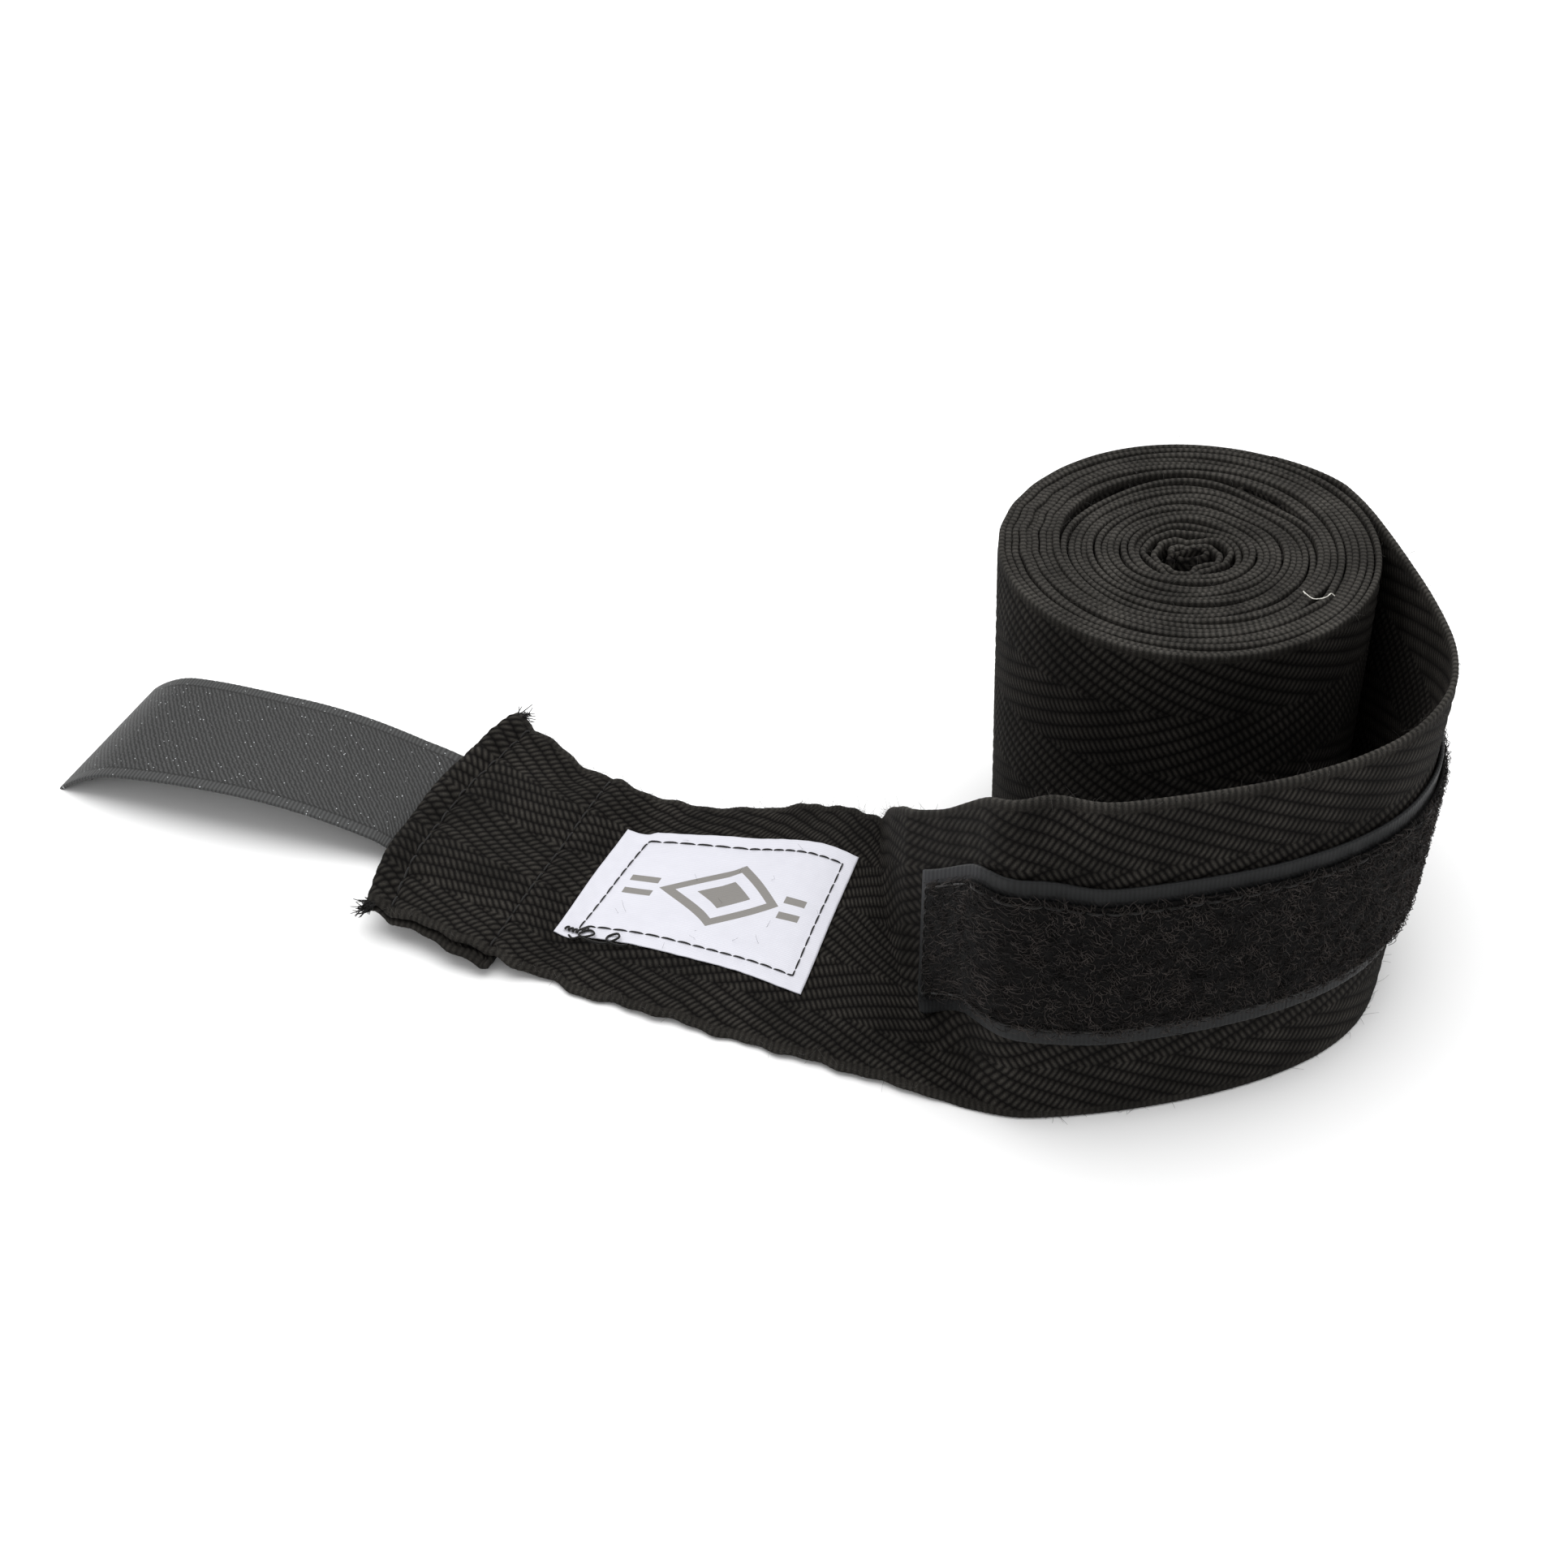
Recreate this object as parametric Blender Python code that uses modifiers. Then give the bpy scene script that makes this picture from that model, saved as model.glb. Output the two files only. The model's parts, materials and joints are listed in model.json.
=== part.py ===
"""Hand wrap: a long woven cotton tape wound into a roll, with its free end laid out in front.

The tape leaves the roll at its back right, stands on its edge round the right side and the front,
folds over onto the ground and ends in a hem that holds a short hook tab. A loop patch and a
label are sewn on its outer face. Metres, +Z up, X to the right along the front of the roll.
"""

import math

import bmesh
import bpy
import numpy as np

# Tape and sewn-on pieces, in metres
TAPE_WIDTH = 0.050
TAPE_THICK = 0.00095
PATCH_WIDTH = 0.025
PATCH_THICK = 0.0006
PILE_THICK = 0.0016
TAB_THICK = 0.0006
HOOK_HEIGHT = 0.0012
LABEL_THICK = 0.0003
THREAD_R = 0.0002
GAP = 0.0003  # clearance between pieces that touch
FLOOR_GAP = 0.0001  # clearance between the tape's lower edge and the ground
HINGE_GAP = 0.0009  # the slot left where a piece is cut at a fold
PILE_CLEARANCE = 0.0004  # the pile and its seam stop this much further from the fold

# The roll stands on its edge. Its axis is where the object's frame puts it.
ROLL_AXIS = (0.0648, 0.0150)
ROLL_R_TOP = 0.0264
ROLL_R_BASE = 0.0252
INNER_COIL_R = 0.0178
CORE_R = 0.0062
THUMB_LOOP_LENGTH = 0.0100
THUMB_LOOP_HEIGHT = 0.0120
THUMB_LOOP_BEND_R = 0.0022
THUMB_LOOP_TURN = 25  # degrees

# Stations along the free tape's lower edge, from where it leaves the roll
PEEL = 0.0
PATCH_START = 0.028
BEND = 0.060
FOLD_START = 0.110
PATCH_END = 0.125
FOLD_END = 0.142
LIFT = 0.142
HEM_START = 0.188
TAPE_END = 0.2075
HEM_BOW = 0.0036  # how far the tab's pull bows the middle of the hem out past its corners
TAB_CENTRE = 0.027
TAB_FREE = 0.0555
TAB_HIDDEN = 0.014

# Where the hinge axes stand, out from the middle of the sheet that each one folds
BEND_AXIS_OUT = 0.0020
TAB_AXIS_PAST = 0.0018  # past the hem's edge, so the tab folds back round it
TAB_AXIS_OUT = 0.0014

# Course of the free tape: heading of its lower edge, in degrees, at stations along it
PEEL_POINT = (0.0230, 0.0150)  # from the roll's axis
COURSE = ((0.000, -64), (0.010, -77), (0.020, -86), (0.032, -91), (0.044, -98), (0.054, -113),
          (0.062, -132), (0.070, -147), (0.080, -158), (0.090, -165), (0.100, -171),
          (0.108, -176), (0.113, -189), (0.118, -200), (0.126, -203), (0.175, -203),
          (0.190, -205), (0.214, -209))
# Lean of the standing tape, in degrees up from the ground on its inner side
LEAN = ((0.000, 90.8), (0.015, 91), (0.030, 94), (0.042, 96), (0.051, 94), (0.060, 91),
        (0.070, 89), (0.090, 87))
# How far the crosswise threads turn past square to the lower edge, in degrees
SKEW = ((0.108, 0), (0.114, 10), (0.128, 18), (0.142, 9), (0.165, 0), (0.190, 3), (0.209, 7))
# Tilt of the laid tape, in degrees, which dies away towards the hem
TILT = ((0.120, 0), (0.142, 3), (0.150, 3), (0.175, 0))
FOLD_HALF_WIDTH = 0.008
FOLD_PUFF = 0.0014  # keeps the folding edge's corners off the ground
FOLD_HASTE = 1.2  # the fold runs across the tape faster as it nears the far edge
# Where the label's seam and the hem's inner row gather the tape: station, spread, share of width
GATHERS = ((0.176, 0.014, 0.10), (0.192, 0.012, 0.12))
HEM_LIFT = 0.0026
HEM_CORNER_LIFT = 0.0016

# Arch of the hook tab: heading and climb, in degrees, along it from the hem
TAB_COURSE = ((0.000, 0), (0.006, 8), (0.028, 4), (0.0555, -5))
TAB_CLIMB = ((0.000, 22), (0.012, 15), (0.026, 1), (0.038, -10), (0.048, -17), (0.0555, -20))
TAB_TWIST = ((0.000, 0), (0.030, 0), (0.0555, 5))  # its far edge lifts towards the tip

LABEL_CORNERS = ((0.1832, 0.0108), (0.1445, 0.0108), (0.1432, 0.0400), (0.1828, 0.0395))
LABEL_BOW = 0.0012  # how far its long edges bow towards the tape's far edge


def value_at(keys, station):
    return np.interp(station, [key[0] for key in keys], [key[1] for key in keys])


def smooth(x):
    x = np.clip(x, 0.0, 1.0)
    return x * x * (3.0 - 2.0 * x)


def edge_course():
    """Plan of the lower edge: stations, positions and headings in radians."""
    stations = np.linspace(0.0, TAPE_END + 2 * HEM_BOW, 434)
    headings = np.radians(value_at(COURSE, stations))
    middle = (headings[1:] + headings[:-1]) / 2
    steps = np.diff(stations)
    x = ROLL_AXIS[0] + PEEL_POINT[0] + np.append(0.0, np.cumsum(np.cos(middle) * steps))
    y = ROLL_AXIS[1] + PEEL_POINT[1] + np.append(0.0, np.cumsum(np.sin(middle) * steps))
    return stations, x, y, headings


EDGE = edge_course()


def rise_and_run(station, across):
    """How far in and how far up the tape has gone at this distance from its lower edge."""
    bend = np.clip((station - FOLD_START) / (FOLD_END - FOLD_START), 0.0, 1.0) ** FOLD_HASTE
    centre = -FOLD_HALF_WIDTH + (TAPE_WIDTH + 2 * FOLD_HALF_WIDTH) * bend
    samples = (np.arange(24) + 0.5) / 24 * across
    tilt, lean = value_at(TILT, station), value_at(LEAN, station)
    standing = smooth((samples - centre + FOLD_HALF_WIDTH) / (2 * FOLD_HALF_WIDTH))
    angles = np.radians(tilt + (lean - tilt) * standing)
    return np.cos(angles).mean() * across, np.sin(angles).mean() * across


def tape_middle(station, across):
    """A point midway through the tape's thickness."""
    x, y, heading = (np.interp(station, EDGE[0], EDGE[i]) for i in (1, 2, 3))
    run, rise = rise_and_run(station, across)
    for middle, spread, share in GATHERS:
        run *= 1 - share * math.exp(-(((station - middle) / spread) ** 2))
    square = heading + math.radians(value_at(SKEW, station))
    laid = smooth((station - FOLD_START) / (FOLD_END - FOLD_START))
    up = FLOOR_GAP + laid * TAPE_THICK / 2 + FOLD_PUFF * laid * (1 - laid)
    up += HEM_LIFT * smooth((station - HEM_START + 0.008) / 0.010)
    up += HEM_CORNER_LIFT * smooth((station - HEM_START) / 0.020) * smooth(1 - across / 0.035)
    return np.array([x + math.sin(square) * run, y - math.cos(square) * run, rise + up])


def end_point(station, across, out=0.0):
    """A point on the laid end, whose last stretch bows out in the middle of the tape's width."""
    share = max(0.0, (station - HEM_START) / (TAPE_END - HEM_START))
    middle = TAPE_WIDTH / 2
    return tape_point(station + HEM_BOW * share * (1 - ((across - middle) / middle) ** 2), across, out)


def tape_point(station, across, out=0.0):
    """A point this far out from the tape's middle, on the side that carries the patch."""
    here = tape_middle(station, across)
    if out == 0.0:
        return here
    step = 0.0004
    along = tape_middle(station + step, across) - tape_middle(station - step, across)
    up = tape_middle(station, across + step) - tape_middle(station, across - step)
    normal = np.cross(up, along)
    return here + normal / np.linalg.norm(normal) * out


def label_point(length, height, out):
    """A point on the label: length and height run from 0 to 1 from its corner by the hem."""
    low_left, low_right, top_right, top_left = (np.array(c) for c in LABEL_CORNERS)
    low = low_left + (low_right - low_left) * length
    top = top_left + (top_right - top_left) * length
    station, across = low + (top - low) * height
    return tape_point(station, across + LABEL_BOW * 4 * length * (1 - length), out)


TURNED_OUT = -(TAPE_THICK + GAP)  # the hem's turned layer lies against the tape's under side
TAB_OUT = TURNED_OUT - TAPE_THICK / 2 - GAP - TAB_THICK / 2  # the tab's root lies under both


def tab_frame():
    """Where the tab leaves the hem: its middle, its direction and its crosswise direction."""
    root = tape_point(TAPE_END + HEM_BOW, TAB_CENTRE, TAB_OUT)
    across = tape_point(TAPE_END + HEM_BOW, TAB_CENTRE + 0.010, TAB_OUT) - tape_point(
        TAPE_END + HEM_BOW, TAB_CENTRE - 0.010, TAB_OUT)
    across /= np.linalg.norm(across)
    along = np.cross(across, (0.0, 0.0, 1.0))
    return root, -along / np.linalg.norm(along), across


def tab_arch():
    """Stations, run, drift and rise of the tab's middle line, and its turn in radians."""
    stations = np.linspace(0.0, TAB_FREE, 117)
    turn = np.radians(value_at(TAB_COURSE, stations))
    climb = np.radians(value_at(TAB_CLIMB, stations))
    step = stations[1]
    run = np.append(0.0, np.cumsum(np.cos(turn[:-1]) * np.cos(climb[:-1]) * step))
    drift = np.append(0.0, np.cumsum(-np.sin(turn[:-1]) * np.cos(climb[:-1]) * step))
    rise = np.append(0.0, np.cumsum(np.sin(climb[:-1]) * step))
    return stations, run, drift, rise, turn


ARCH = tab_arch()
TAB_ROOT, TAB_ALONG, TAB_ACROSS = tab_frame()


def tab_middle(distance, aside):
    """A point on the tab: distance out from the hem, and aside of its middle line."""
    if distance < 0:
        return tape_point(TAPE_END + HEM_BOW + distance, TAB_CENTRE + aside, TAB_OUT)
    run, drift, rise, turn = (np.interp(distance, ARCH[0], ARCH[i]) for i in (1, 2, 3, 4))
    twist = math.tan(math.radians(value_at(TAB_TWIST, distance)))
    level = np.array([TAB_ACROSS[0], TAB_ACROSS[1], twist])
    across = TAB_ACROSS + (level - TAB_ACROSS) * smooth(distance / TAB_FREE)
    across = across / np.linalg.norm(across)
    across = across * math.cos(turn) + TAB_ALONG * math.sin(turn)
    up = np.array([0.0, 0.0, 1.0])
    return TAB_ROOT + TAB_ALONG * run + TAB_ACROSS * drift + up * rise + across * aside


def tab_point(distance, aside, out=0.0):
    here = tab_middle(distance, aside)
    if out == 0.0:
        return here
    step = 0.0003
    near = max(distance, step)
    along = tab_middle(near + step, aside) - tab_middle(near - step + 1e-9, aside)
    up = tab_middle(distance, aside + step) - tab_middle(distance, aside - step)
    normal = np.cross(up, along)
    return here + normal / np.linalg.norm(normal) * out


def material(name, colour, roughness):
    made = bpy.data.materials.new(name)
    made.use_nodes = True
    shader = made.node_tree.nodes["Principled BSDF"]
    shader.inputs["Base Color"].default_value = (*colour, 1.0)
    shader.inputs["Roughness"].default_value = roughness
    made.diffuse_color = (*colour, 1.0)
    return made


def add_object(name, data, finish, parent):
    data.materials.append(finish)
    made = bpy.data.objects.new(name, data)
    PARTS.objects.link(made)
    origin = parent.matrix_world.translation
    made.parent = parent
    made.location = -origin
    return made


def sheet(name, point, first, last, cells, thickness, finish, parent):
    """A grid laid on point(u, v) between two corners (u, v), thickened both ways."""
    mesh = bpy.data.meshes.new(name)
    grid = bmesh.new()
    bmesh.ops.create_grid(grid, x_segments=cells[0], y_segments=cells[1], size=0.5)
    for vertex in grid.verts:
        u = first[0] + (last[0] - first[0]) * (vertex.co.x + 0.5)
        v = first[1] + (last[1] - first[1]) * (vertex.co.y + 0.5)
        vertex.co = point(u, v)
    grid.to_mesh(mesh)
    grid.free()
    made = add_object(name, mesh, finish, parent)
    wall = made.modifiers.new("Thickness", "SOLIDIFY")
    wall.thickness = thickness
    wall.offset = 0.0
    return made


def seam(name, points, finish, parent, closed=False):
    """A sewn row, as one thread along its points."""
    curve = bpy.data.curves.new(name, "CURVE")
    curve.dimensions = "3D"
    spline = curve.splines.new("POLY")
    spline.points.add(len(points) - 1)
    for knot, place in zip(spline.points, points):
        knot.co = (*place, 1.0)
    spline.use_cyclic_u = closed
    curve.bevel_depth = THREAD_R
    curve.bevel_resolution = 1
    curve.use_fill_caps = True
    return add_object(name, curve, finish, parent)


def turned(name, profile, finish, parent, steps=48):
    """A solid of revolution about the roll's axis; profile runs down its outer side."""
    mesh = bpy.data.meshes.new(name)
    outline = bmesh.new()
    corners = [outline.verts.new((radius, 0.0, height)) for radius, height in profile]
    closed = profile[0][0] > 0
    for i in range(len(corners) - (0 if closed else 1)):
        outline.edges.new((corners[i], corners[(i + 1) % len(corners)]))
    outline.to_mesh(mesh)
    outline.free()
    made = add_object(name, mesh, finish, parent)
    made.location = (made.location.x + ROLL_AXIS[0], made.location.y + ROLL_AXIS[1], 0.0)
    screw = made.modifiers.new("Turn", "SCREW")
    screw.steps = steps
    screw.render_steps = steps
    screw.use_merge_vertices = True
    screw.merge_threshold = 0.00001
    return made


def roll(cotton, parent):
    """The wound turns: a loosely wound outer group round a tight inner one."""
    split_r = INNER_COIL_R + 2 * GAP
    turned("outer_turns", ((ROLL_R_TOP, TAPE_WIDTH), (ROLL_R_BASE, 0.0), (split_r, 0.0),
                           (split_r, TAPE_WIDTH)), cotton, parent)
    core = CORE_R + GAP
    turned("inner_turns", ((INNER_COIL_R, TAPE_WIDTH), (INNER_COIL_R, 0.0), (core, 0.0),
                           (core, TAPE_WIDTH)), cotton, parent)
    floor_of_loop = TAPE_WIDTH - THUMB_LOOP_HEIGHT - GAP
    turned("core_fold", ((0.0, floor_of_loop), (CORE_R, floor_of_loop), (CORE_R, 0.0), (0.0, 0.0)),
           cotton, parent, steps=24)


def thumb_loop(cotton, parent):
    """The narrow loop at the tape's inner end, tucked flat into the middle of the roll."""
    curve = bpy.data.curves.new("thumb_loop", "CURVE")
    curve.dimensions = "2D"
    half = THUMB_LOOP_LENGTH / 2
    straight = half - THUMB_LOOP_BEND_R
    for end_r in (THUMB_LOOP_BEND_R, THUMB_LOOP_BEND_R - TAPE_THICK):
        spline = curve.splines.new("POLY")
        outline = []
        for side in (1, -1):
            for i in range(9):
                turn = math.pi * (i / 8 - 0.5)
                outline.append((side * (straight + end_r * math.cos(turn)),
                                side * end_r * math.sin(turn)))
        spline.points.add(len(outline) - 1)
        for knot, place in zip(spline.points, outline):
            knot.co = (*place, 0.0, 1.0)
        spline.use_cyclic_u = True
    curve.fill_mode = "BOTH"
    curve.extrude = THUMB_LOOP_HEIGHT / 2
    made = add_object("thumb_loop", curve, cotton, parent)
    made.location = (made.location.x + ROLL_AXIS[0], made.location.y + ROLL_AXIS[1],
                     TAPE_WIDTH - THUMB_LOOP_HEIGHT / 2)
    made.rotation_euler = (0.0, 0.0, math.radians(THUMB_LOOP_TURN))


def free_tape(cotton, side, front, end):
    """The tape outside the roll, cut where it bends and where its end lifts."""
    half = HINGE_GAP / 2
    sheet("tape_side", tape_point, (PEEL + half, 0.0), (BEND - half, TAPE_WIDTH), (20, 3),
          TAPE_THICK, cotton, side)
    sheet("tape_front", tape_point, (BEND + half, 0.0), (LIFT - half, TAPE_WIDTH), (30, 13),
          TAPE_THICK, cotton, front)
    sheet("tape_end", end_point, (LIFT + half, 0.0), (TAPE_END, TAPE_WIDTH), (24, 8),
          TAPE_THICK, cotton, end)


def patch(tape, pile, thread, side, front):
    """The loop patch, cut at the same bend as the tape under it, with its pile and its seam."""
    low = (TAPE_WIDTH - PATCH_WIDTH) / 2
    high = low + PATCH_WIDTH
    margin = 0.0030
    ground = TAPE_THICK / 2 + GAP + PATCH_THICK / 2
    nap = ground + PATCH_THICK / 2 + GAP + PILE_THICK / 2
    sewn = ground + PATCH_THICK / 2 + GAP + THREAD_R
    half = HINGE_GAP
    for place, parent, first, last, cells in (
            ("side", side, PATCH_START, BEND - half, 12),
            ("front", front, BEND + half, PATCH_END, 24)):
        sheet("loop_patch_" + place, lambda s, t: tape_point(s, t, ground), (first, low),
              (last, high), (cells, 6), PATCH_THICK, tape, parent)
        open_end = first if place == "front" else last
        sewn_end = last if place == "front" else first
        inset = 0.0015 if sewn_end > open_end else -0.0015
        pile_open = open_end + PILE_CLEARANCE * (1 if inset > 0 else -1)
        sheet("loop_pile_" + place, lambda s, t: tape_point(s, t, nap),
              (min(pile_open, sewn_end - 2 * inset), low + margin),
              (max(pile_open, sewn_end - 2 * inset), high - margin), (cells, 5), PILE_THICK, pile,
              parent)
        rows = [(s, low + margin / 2) for s in np.linspace(pile_open, sewn_end - inset, cells)]
        rows += [(sewn_end - inset, t) for t in np.linspace(low + 0.004, high - 0.004, 5)]
        rows += [(s, high - margin / 2) for s in np.linspace(sewn_end - inset, pile_open, cells)]
        seam("patch_seam_" + place, [tape_point(s, t, sewn) for s, t in rows], thread, parent)


def hem(cotton, thread, parent):
    """The tape's end, turned under itself and held by two rows."""
    sheet("hem_turning", lambda s, t: end_point(s, t, TURNED_OUT), (HEM_START, 0.0005),
          (TAPE_END, TAPE_WIDTH - 0.0005), (8, 8), TAPE_THICK, cotton, parent)
    top = TAPE_THICK / 2 + GAP + THREAD_R
    for name, station in (("hem_seam_outer", TAPE_END - 0.003), ("hem_seam_inner", HEM_START + 0.001)):
        row = [end_point(station, t, top) for t in np.linspace(0.003, TAPE_WIDTH - 0.003, 12)]
        seam(name, row, thread, parent)


def hook_tab(tape, hooks, end, tab):
    """The hook tab: its root lies sewn under the hem, and its free length arches out."""
    edge = PATCH_WIDTH / 2
    sheet("hook_tab_root", tab_point, (-TAB_HIDDEN, -edge), (-HINGE_GAP / 2, edge), (6, 4),
          TAB_THICK, tape, end)
    sheet("hook_tab", tab_point, (HINGE_GAP / 2, -edge), (TAB_FREE, edge), (20, 2),
          TAB_THICK, tape, tab)
    below = -(TAB_THICK / 2 + GAP + HOOK_HEIGHT / 2)
    sheet("hook_field", lambda d, a: tab_point(d, a, below), (0.006, -edge + 0.002),
          (TAB_FREE - 0.004, edge - 0.002), (18, 2), HOOK_HEIGHT, hooks, tab)


def label(satin, thread, parent):
    """The satin label, its rectangle of stitches and the bar tack at its corner by the hem."""
    face = TAPE_THICK / 2 + GAP + LABEL_THICK / 2
    top = face + LABEL_THICK / 2 + GAP + THREAD_R
    sheet("label", lambda u, v: label_point(u, v, face), (0.0, 0.0), (1.0, 1.0), (14, 8),
          LABEL_THICK, satin, parent)
    corners = ((0.08, 0.09), (0.95, 0.08), (0.95, 0.91), (0.08, 0.91))
    row = []
    for i, (u, v) in enumerate(corners):
        to_u, to_v = corners[(i + 1) % 4]
        row += [label_point(u + (to_u - u) * k / 8, v + (to_v - v) * k / 8, top) for k in range(8)]
    seam("label_seam", row, thread, parent, closed=True)
    tack = [label_point(u, 0.045, top) for u in (0.045, 0.075, 0.105)]
    seam("label_tack", tack, thread, parent)


def empty(name, place, parent=None):
    made = bpy.data.objects.new(name, None)
    PARTS.objects.link(made)
    made.parent = parent
    base = parent.matrix_world.translation if parent else (0.0, 0.0, 0.0)
    made.location = [a - b for a, b in zip(place, base)]
    bpy.context.view_layer.update()
    return made


for leftover in list(bpy.data.objects):
    bpy.data.objects.remove(leftover, do_unlink=True)
PARTS = bpy.data.collections.new("hand_wrap")
bpy.context.scene.collection.children.link(PARTS)

BLACK_COTTON = material("black_cotton", (0.012, 0.011, 0.010), 0.9)
NYLON_TAPE = material("nylon_tape", (0.030, 0.032, 0.033), 0.6)
NYLON_PILE = material("nylon_pile", (0.010, 0.010, 0.010), 0.9)
NYLON_HOOK = material("nylon_hook", (0.020, 0.020, 0.021), 0.4)
WHITE_SATIN = material("white_satin", (0.85, 0.85, 0.88), 0.4)
BLACK_THREAD = material("black_thread", (0.010, 0.010, 0.010), 0.7)

MAKE_ROLL = empty("roll", (0.0, 0.0, 0.0))
SIDE = empty("side_bend", tape_point(PEEL, 0.0), MAKE_ROLL)
FRONT = empty("front_bend", tape_point(BEND, 0.0, BEND_AXIS_OUT), SIDE)
END = empty("end_fold", tape_point(LIFT, 0.0), FRONT)
TAB = empty("tab_fold", tab_point(TAB_AXIS_PAST, 0.0, TAB_AXIS_OUT), END)

roll(BLACK_COTTON, MAKE_ROLL)
thumb_loop(BLACK_COTTON, MAKE_ROLL)
free_tape(BLACK_COTTON, SIDE, FRONT, END)
patch(NYLON_TAPE, NYLON_PILE, BLACK_THREAD, SIDE, FRONT)
hem(BLACK_COTTON, BLACK_THREAD, END)
hook_tab(NYLON_TAPE, NYLON_HOOK, END, TAB)
label(WHITE_SATIN, BLACK_THREAD, END)
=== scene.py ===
"""Hand wrap: a black cotton tape wound into a roll, stood on its edge with its free end laid out.

The free end carries a loop patch, a satin label and a hook tab. Metres, +Z up, in the frame's axes.
"""

import json
import math

import bpy
import numpy as np
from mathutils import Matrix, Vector


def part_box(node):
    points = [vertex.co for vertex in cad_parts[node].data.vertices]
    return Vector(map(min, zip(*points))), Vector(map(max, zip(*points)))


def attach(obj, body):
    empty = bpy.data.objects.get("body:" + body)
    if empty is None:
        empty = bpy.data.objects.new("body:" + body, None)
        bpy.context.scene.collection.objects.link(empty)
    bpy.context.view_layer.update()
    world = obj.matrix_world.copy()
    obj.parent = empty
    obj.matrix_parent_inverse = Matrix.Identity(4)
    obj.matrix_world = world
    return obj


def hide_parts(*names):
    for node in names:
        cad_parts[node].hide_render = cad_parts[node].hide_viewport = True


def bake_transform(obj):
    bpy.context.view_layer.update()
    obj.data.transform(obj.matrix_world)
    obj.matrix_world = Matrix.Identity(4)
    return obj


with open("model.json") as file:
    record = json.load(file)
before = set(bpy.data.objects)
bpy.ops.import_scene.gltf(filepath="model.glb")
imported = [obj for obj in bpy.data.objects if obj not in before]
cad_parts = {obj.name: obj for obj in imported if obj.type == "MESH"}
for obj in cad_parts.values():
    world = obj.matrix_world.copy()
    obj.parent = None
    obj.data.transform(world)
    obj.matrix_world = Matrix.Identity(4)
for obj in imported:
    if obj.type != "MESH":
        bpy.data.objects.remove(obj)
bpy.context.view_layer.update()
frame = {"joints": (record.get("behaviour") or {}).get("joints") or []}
bpy.ops.object.select_all(action="DESELECT")

# The cotton tape.
# One strip of herringbone cotton, woven on a narrow loom with a ribbed selvedge along each side.
# It leaves the roll at its back right, stands on its edge round the front, folds over onto the
# ground and ends in a hem. Stations are distances along its lower edge from where it leaves.

roll_low, roll_high = (np.array(corner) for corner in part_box("outer_turns"))
ROLL_AXIS = (roll_low + roll_high)[:2] / 2
TAPE_WIDTH = float(roll_high[2] - roll_low[2])
TAPE_HALF = 0.00040  # half its thickness between the twill's raised rows
JOINTS = {joint["name"]: joint for joint in frame["joints"]}
PEEL = np.array(JOINTS["tail_peel"]["pos_m"])

COURSE = ((0.000, -64), (0.010, -77), (0.020, -86), (0.032, -91), (0.044, -98), (0.054, -113),
          (0.062, -132), (0.070, -147), (0.080, -158), (0.090, -165), (0.100, -171),
          (0.108, -176), (0.113, -189), (0.118, -200), (0.126, -203), (0.175, -203),
          (0.190, -205), (0.214, -209))
LEAN = ((0.000, 90.8), (0.015, 91), (0.030, 94), (0.042, 96), (0.051, 94), (0.060, 91),
        (0.070, 89), (0.090, 87))
SKEW = ((0.108, 0), (0.114, 10), (0.128, 18), (0.142, 9), (0.165, 0), (0.190, 3), (0.209, 7))
TILT = ((0.120, 0), (0.142, 3), (0.150, 3), (0.175, 0))
# Each of these is where it is along the tape, how far it spreads, and how much it is
GATHERS = ((0.176, 0.014, 0.10), (0.192, 0.012, 0.12))
HELD_UP, SLUMP, TUCK = (0.1090, 0.0050, 0.0020), (0.1240, 0.0075, 0.0026), (0.1806, 0.0034, 0.0011)
FOLD_START, FOLD_END = 0.110, 0.142
FOLD_HALF_WIDTH, FOLD_PUFF, FOLD_HASTE = 0.008, 0.0014, 1.2
HEM_START, TAPE_END, HEM_BOW = 0.188, 0.2075, 0.0036
HEM_LIFT, HEM_CORNER_LIFT = 0.0026, 0.0016
FLOOR_GAP = 0.0001


def value_at(keys, station):
    """The value between keys, which are pairs of a station and a value."""
    return np.interp(station, [key[0] for key in keys], [key[1] for key in keys])


def hump(x, centre, spread):
    """1 at the centre, fading to 0 on both sides of it."""
    return np.exp(-(((x - centre) / spread) ** 2))


def paired(station, across):
    """Both as arrays of one shape."""
    return np.broadcast_arrays(np.asarray(station, float), np.asarray(across, float))


def eased(keys, station):
    """value_at with its corners rounded off over 12 mm."""
    return sum(value_at(keys, station + d) for d in np.linspace(-0.006, 0.006, 7)) / 7


def smooth(x):
    """0 up to 0 and 1 from 1 on, with a soft ramp between them."""
    x = np.clip(x, 0.0, 1.0)
    return x * x * (3.0 - 2.0 * x)


def edge_course():
    """Plan of the free tape's lower edge: stations, positions and headings."""
    stations = np.linspace(0.0, TAPE_END + 2 * HEM_BOW, 434)
    headings = np.radians(value_at(COURSE, stations))
    middle = (headings[1:] + headings[:-1]) / 2
    steps = np.diff(stations)
    x = PEEL[0] + np.append(0.0, np.cumsum(np.cos(middle) * steps))
    y = PEEL[1] + np.append(0.0, np.cumsum(np.sin(middle) * steps))
    return stations, x, y, headings


EDGE = edge_course()


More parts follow.
